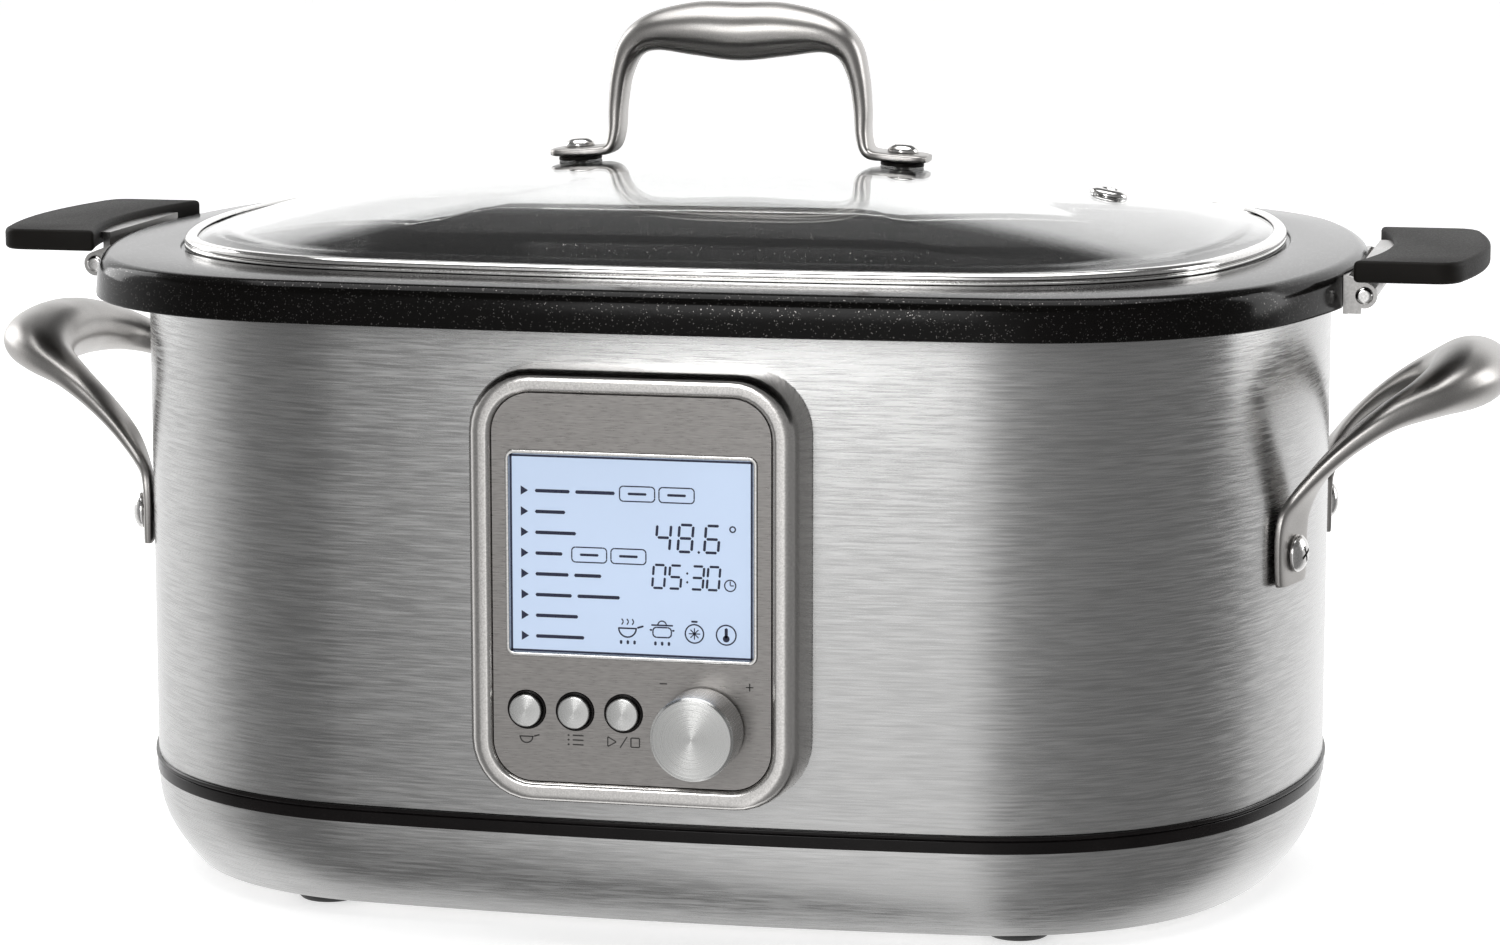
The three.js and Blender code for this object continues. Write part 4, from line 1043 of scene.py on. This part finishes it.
def screen_marks(front):
    sheet = Sheet(front, 0.06)
    first_row, row_pitch = 149.2, 6.7
    rows = first_row - row_pitch * np.arange(8)
    words = ((11.5, 13), (10,), (13.5,), (9,), (11, 9), (12, 14), (14,), (16,))
    for z, lengths in zip(rows, words):
        sheet.shape([(-35.9, z + 1.5), (-35.9, z - 1.5), (-33.5, z)])
        x = -31.3
        for length in lengths:
            sheet.bar(x, z, x + length, z, 1.1)
            x += length + 1.7
    for x0, z in ((-3.6, rows[0]), (9.2, rows[0]), (-19.3, rows[3]), (-6.5, rows[3])):
        sheet.box(x0, z - 2.4, x0 + 11.4, z + 2.4, 0.4)
        sheet.bar(x0 + 2.6, z, x0 + 8.8, z, 0.8)
    heat_z, heat_tall, time_z, time_tall = 131.3, 8.6, 119.4, 7.4
    for value, x in ((4, 8.0), (8, 15.2), (6, 23.8)):
        sheet.digit(value, x, heat_z, heat_tall, 0.85)
    sheet.bar(21.6, heat_z, 22.5, heat_z, 0.9)
    sheet.ring(33.0, 139.0, 1.1, 0.45)
    for value, x in ((0, 6.9), (5, 12.2), (3, 19.4), (0, 24.6)):
        sheet.digit(value, x, time_z, time_tall, 0.75)
    for z in (121.6, 124.4):
        sheet.bar(17.9, z, 18.7, z, 0.8)
    clock_x, clock_z = 32.2, 121.0
    sheet.ring(clock_x, clock_z, 2.0, 0.4)
    sheet.bar(clock_x, clock_z, clock_x, clock_z + 1.5, 0.35)
    sheet.bar(clock_x, clock_z, clock_x + 1.2, clock_z, 0.35)
    # A pan, a pot, a timer and a thermometer.
    z = 105.4
    for x, kind in ((-1.1, "pan"), (10.1, "pot"), (20.6, "timer"), (30.9, "thermometer")):
        if kind == "pan":
            sheet.bar(x - 3.2, z + 0.6, x + 3.0, z + 0.6, 0.5)
            sheet.ring(x - 0.1, z + 0.6, 3.1, 0.5, 180, 360, 12)
            sheet.bar(x + 3.0, z + 0.8, x + 5.2, z + 1.5, 0.6)
            for dx in (-1.7, 0, 1.7):
                sheet.bar(x + dx - 0.3, z + 1.7, x + dx + 0.3, z + 2.7, 0.4)
                sheet.bar(x + dx + 0.3, z + 2.7, x + dx - 0.3, z + 3.7, 0.4)
        elif kind == "pot":
            sheet.box(x - 3, z - 1.9, x + 3, z + 1.3, 0.45)
            sheet.bar(x - 3.6, z + 2.0, x + 3.6, z + 2.0, 0.5)
            sheet.ring(x, z + 2.0, 1.6, 0.4, 0, 180, 8)
            sheet.bar(x - 4.1, z + 0.4, x - 3.2, z + 0.4, 0.6)
            sheet.bar(x + 3.2, z + 0.4, x + 4.1, z + 0.4, 0.6)
        elif kind == "timer":
            sheet.ring(x, z - 0.3, 3.2, 0.45)
            sheet.bar(x - 1.1, z + 3.6, x + 1.1, z + 3.6, 0.6)
            for angle in range(0, 180, 45):
                dx, dz = 1.9 * math.cos(math.radians(angle)), 1.9 * math.sin(math.radians(angle))
                sheet.bar(x - dx, z - 0.3 - dz, x + dx, z - 0.3 + dz, 0.35)
        else:
            sheet.ring(x, z - 0.3, 3.4, 0.45)
            sheet.bar(x, z - 1.4, x, z + 2.0, 1.0)
            sheet.ring(x, z - 1.5, 1.1, 1.08)
        if kind in ("pan", "pot"):
            for dx in (-2.2, 0, 2.2):
                sheet.bar(x + dx, z - 3.2, x + dx, z - 4.6, 0.8)
    sheet.made("screen_symbols", NAVY, "display_glass")
    border = Sheet(front, 0.05)
    half_width, half_height, stroke = 39.5, 31.75, 0.7
    for side in (-1, 1):
        x, z = side * (half_width - stroke / 2), SCREEN_Z + side * (half_height - stroke / 2)
        border.bar(x, SCREEN_Z - half_height, x, SCREEN_Z + half_height, stroke)
        border.bar(-half_width, z, half_width, z, stroke)
    border.made("screen_border", NAVY, "display_glass")


def printed_marks(front):
    """A pan, a list, and play and stop under the buttons, and minus and plus by the knob."""
    sheet = Sheet(front, 0.04)
    z = 69.0
    x = BUTTON_X[0]
    sheet.bar(x - 2.6, z + 0.5, x + 2.2, z + 0.5, 0.45)
    sheet.ring(x - 0.2, z + 0.5, 2.3, 0.45, 180, 360, 12)
    sheet.bar(x + 2.2, z + 0.6, x + 4.2, z + 1.2, 0.5)
    x = BUTTON_X[1]
    for dz in (-1.5, 0, 1.5):
        sheet.bar(x - 0.9, z + dz, x + 2.8, z + dz, 0.45)
        sheet.bar(x - 2.6, z + dz, x - 1.8, z + dz, 0.6)
    x = BUTTON_X[2]
    for x0, z0, x1, z1 in (
        (-5.2, 1.6, -5.2, -1.6), (-5.2, 1.6, -2.4, 0), (-5.2, -1.6, -2.4, 0), (-1.2, -1.9, 1.2, 1.9),
        (2.4, 1.5, 5.2, 1.5), (2.4, -1.5, 5.2, -1.5), (2.4, 1.5, 2.4, -1.5), (5.2, 1.5, 5.2, -1.5),
    ):
        sheet.bar(x + x0, z + z0, x + x1, z + z1, 0.4)
    sign_z, less_x, more_x, reach = 88.6, 10.5, 38.5, 1.3
    for x in (less_x, more_x):
        sheet.bar(x - reach, sign_z, x + reach, sign_z, 0.4)
    sheet.bar(more_x, sign_z - reach, more_x, sign_z + reach, 0.4)
    sheet.made("printed_symbols", MARK, "black_matte")


housing()
pot()
lid()
side_handles()
panel()
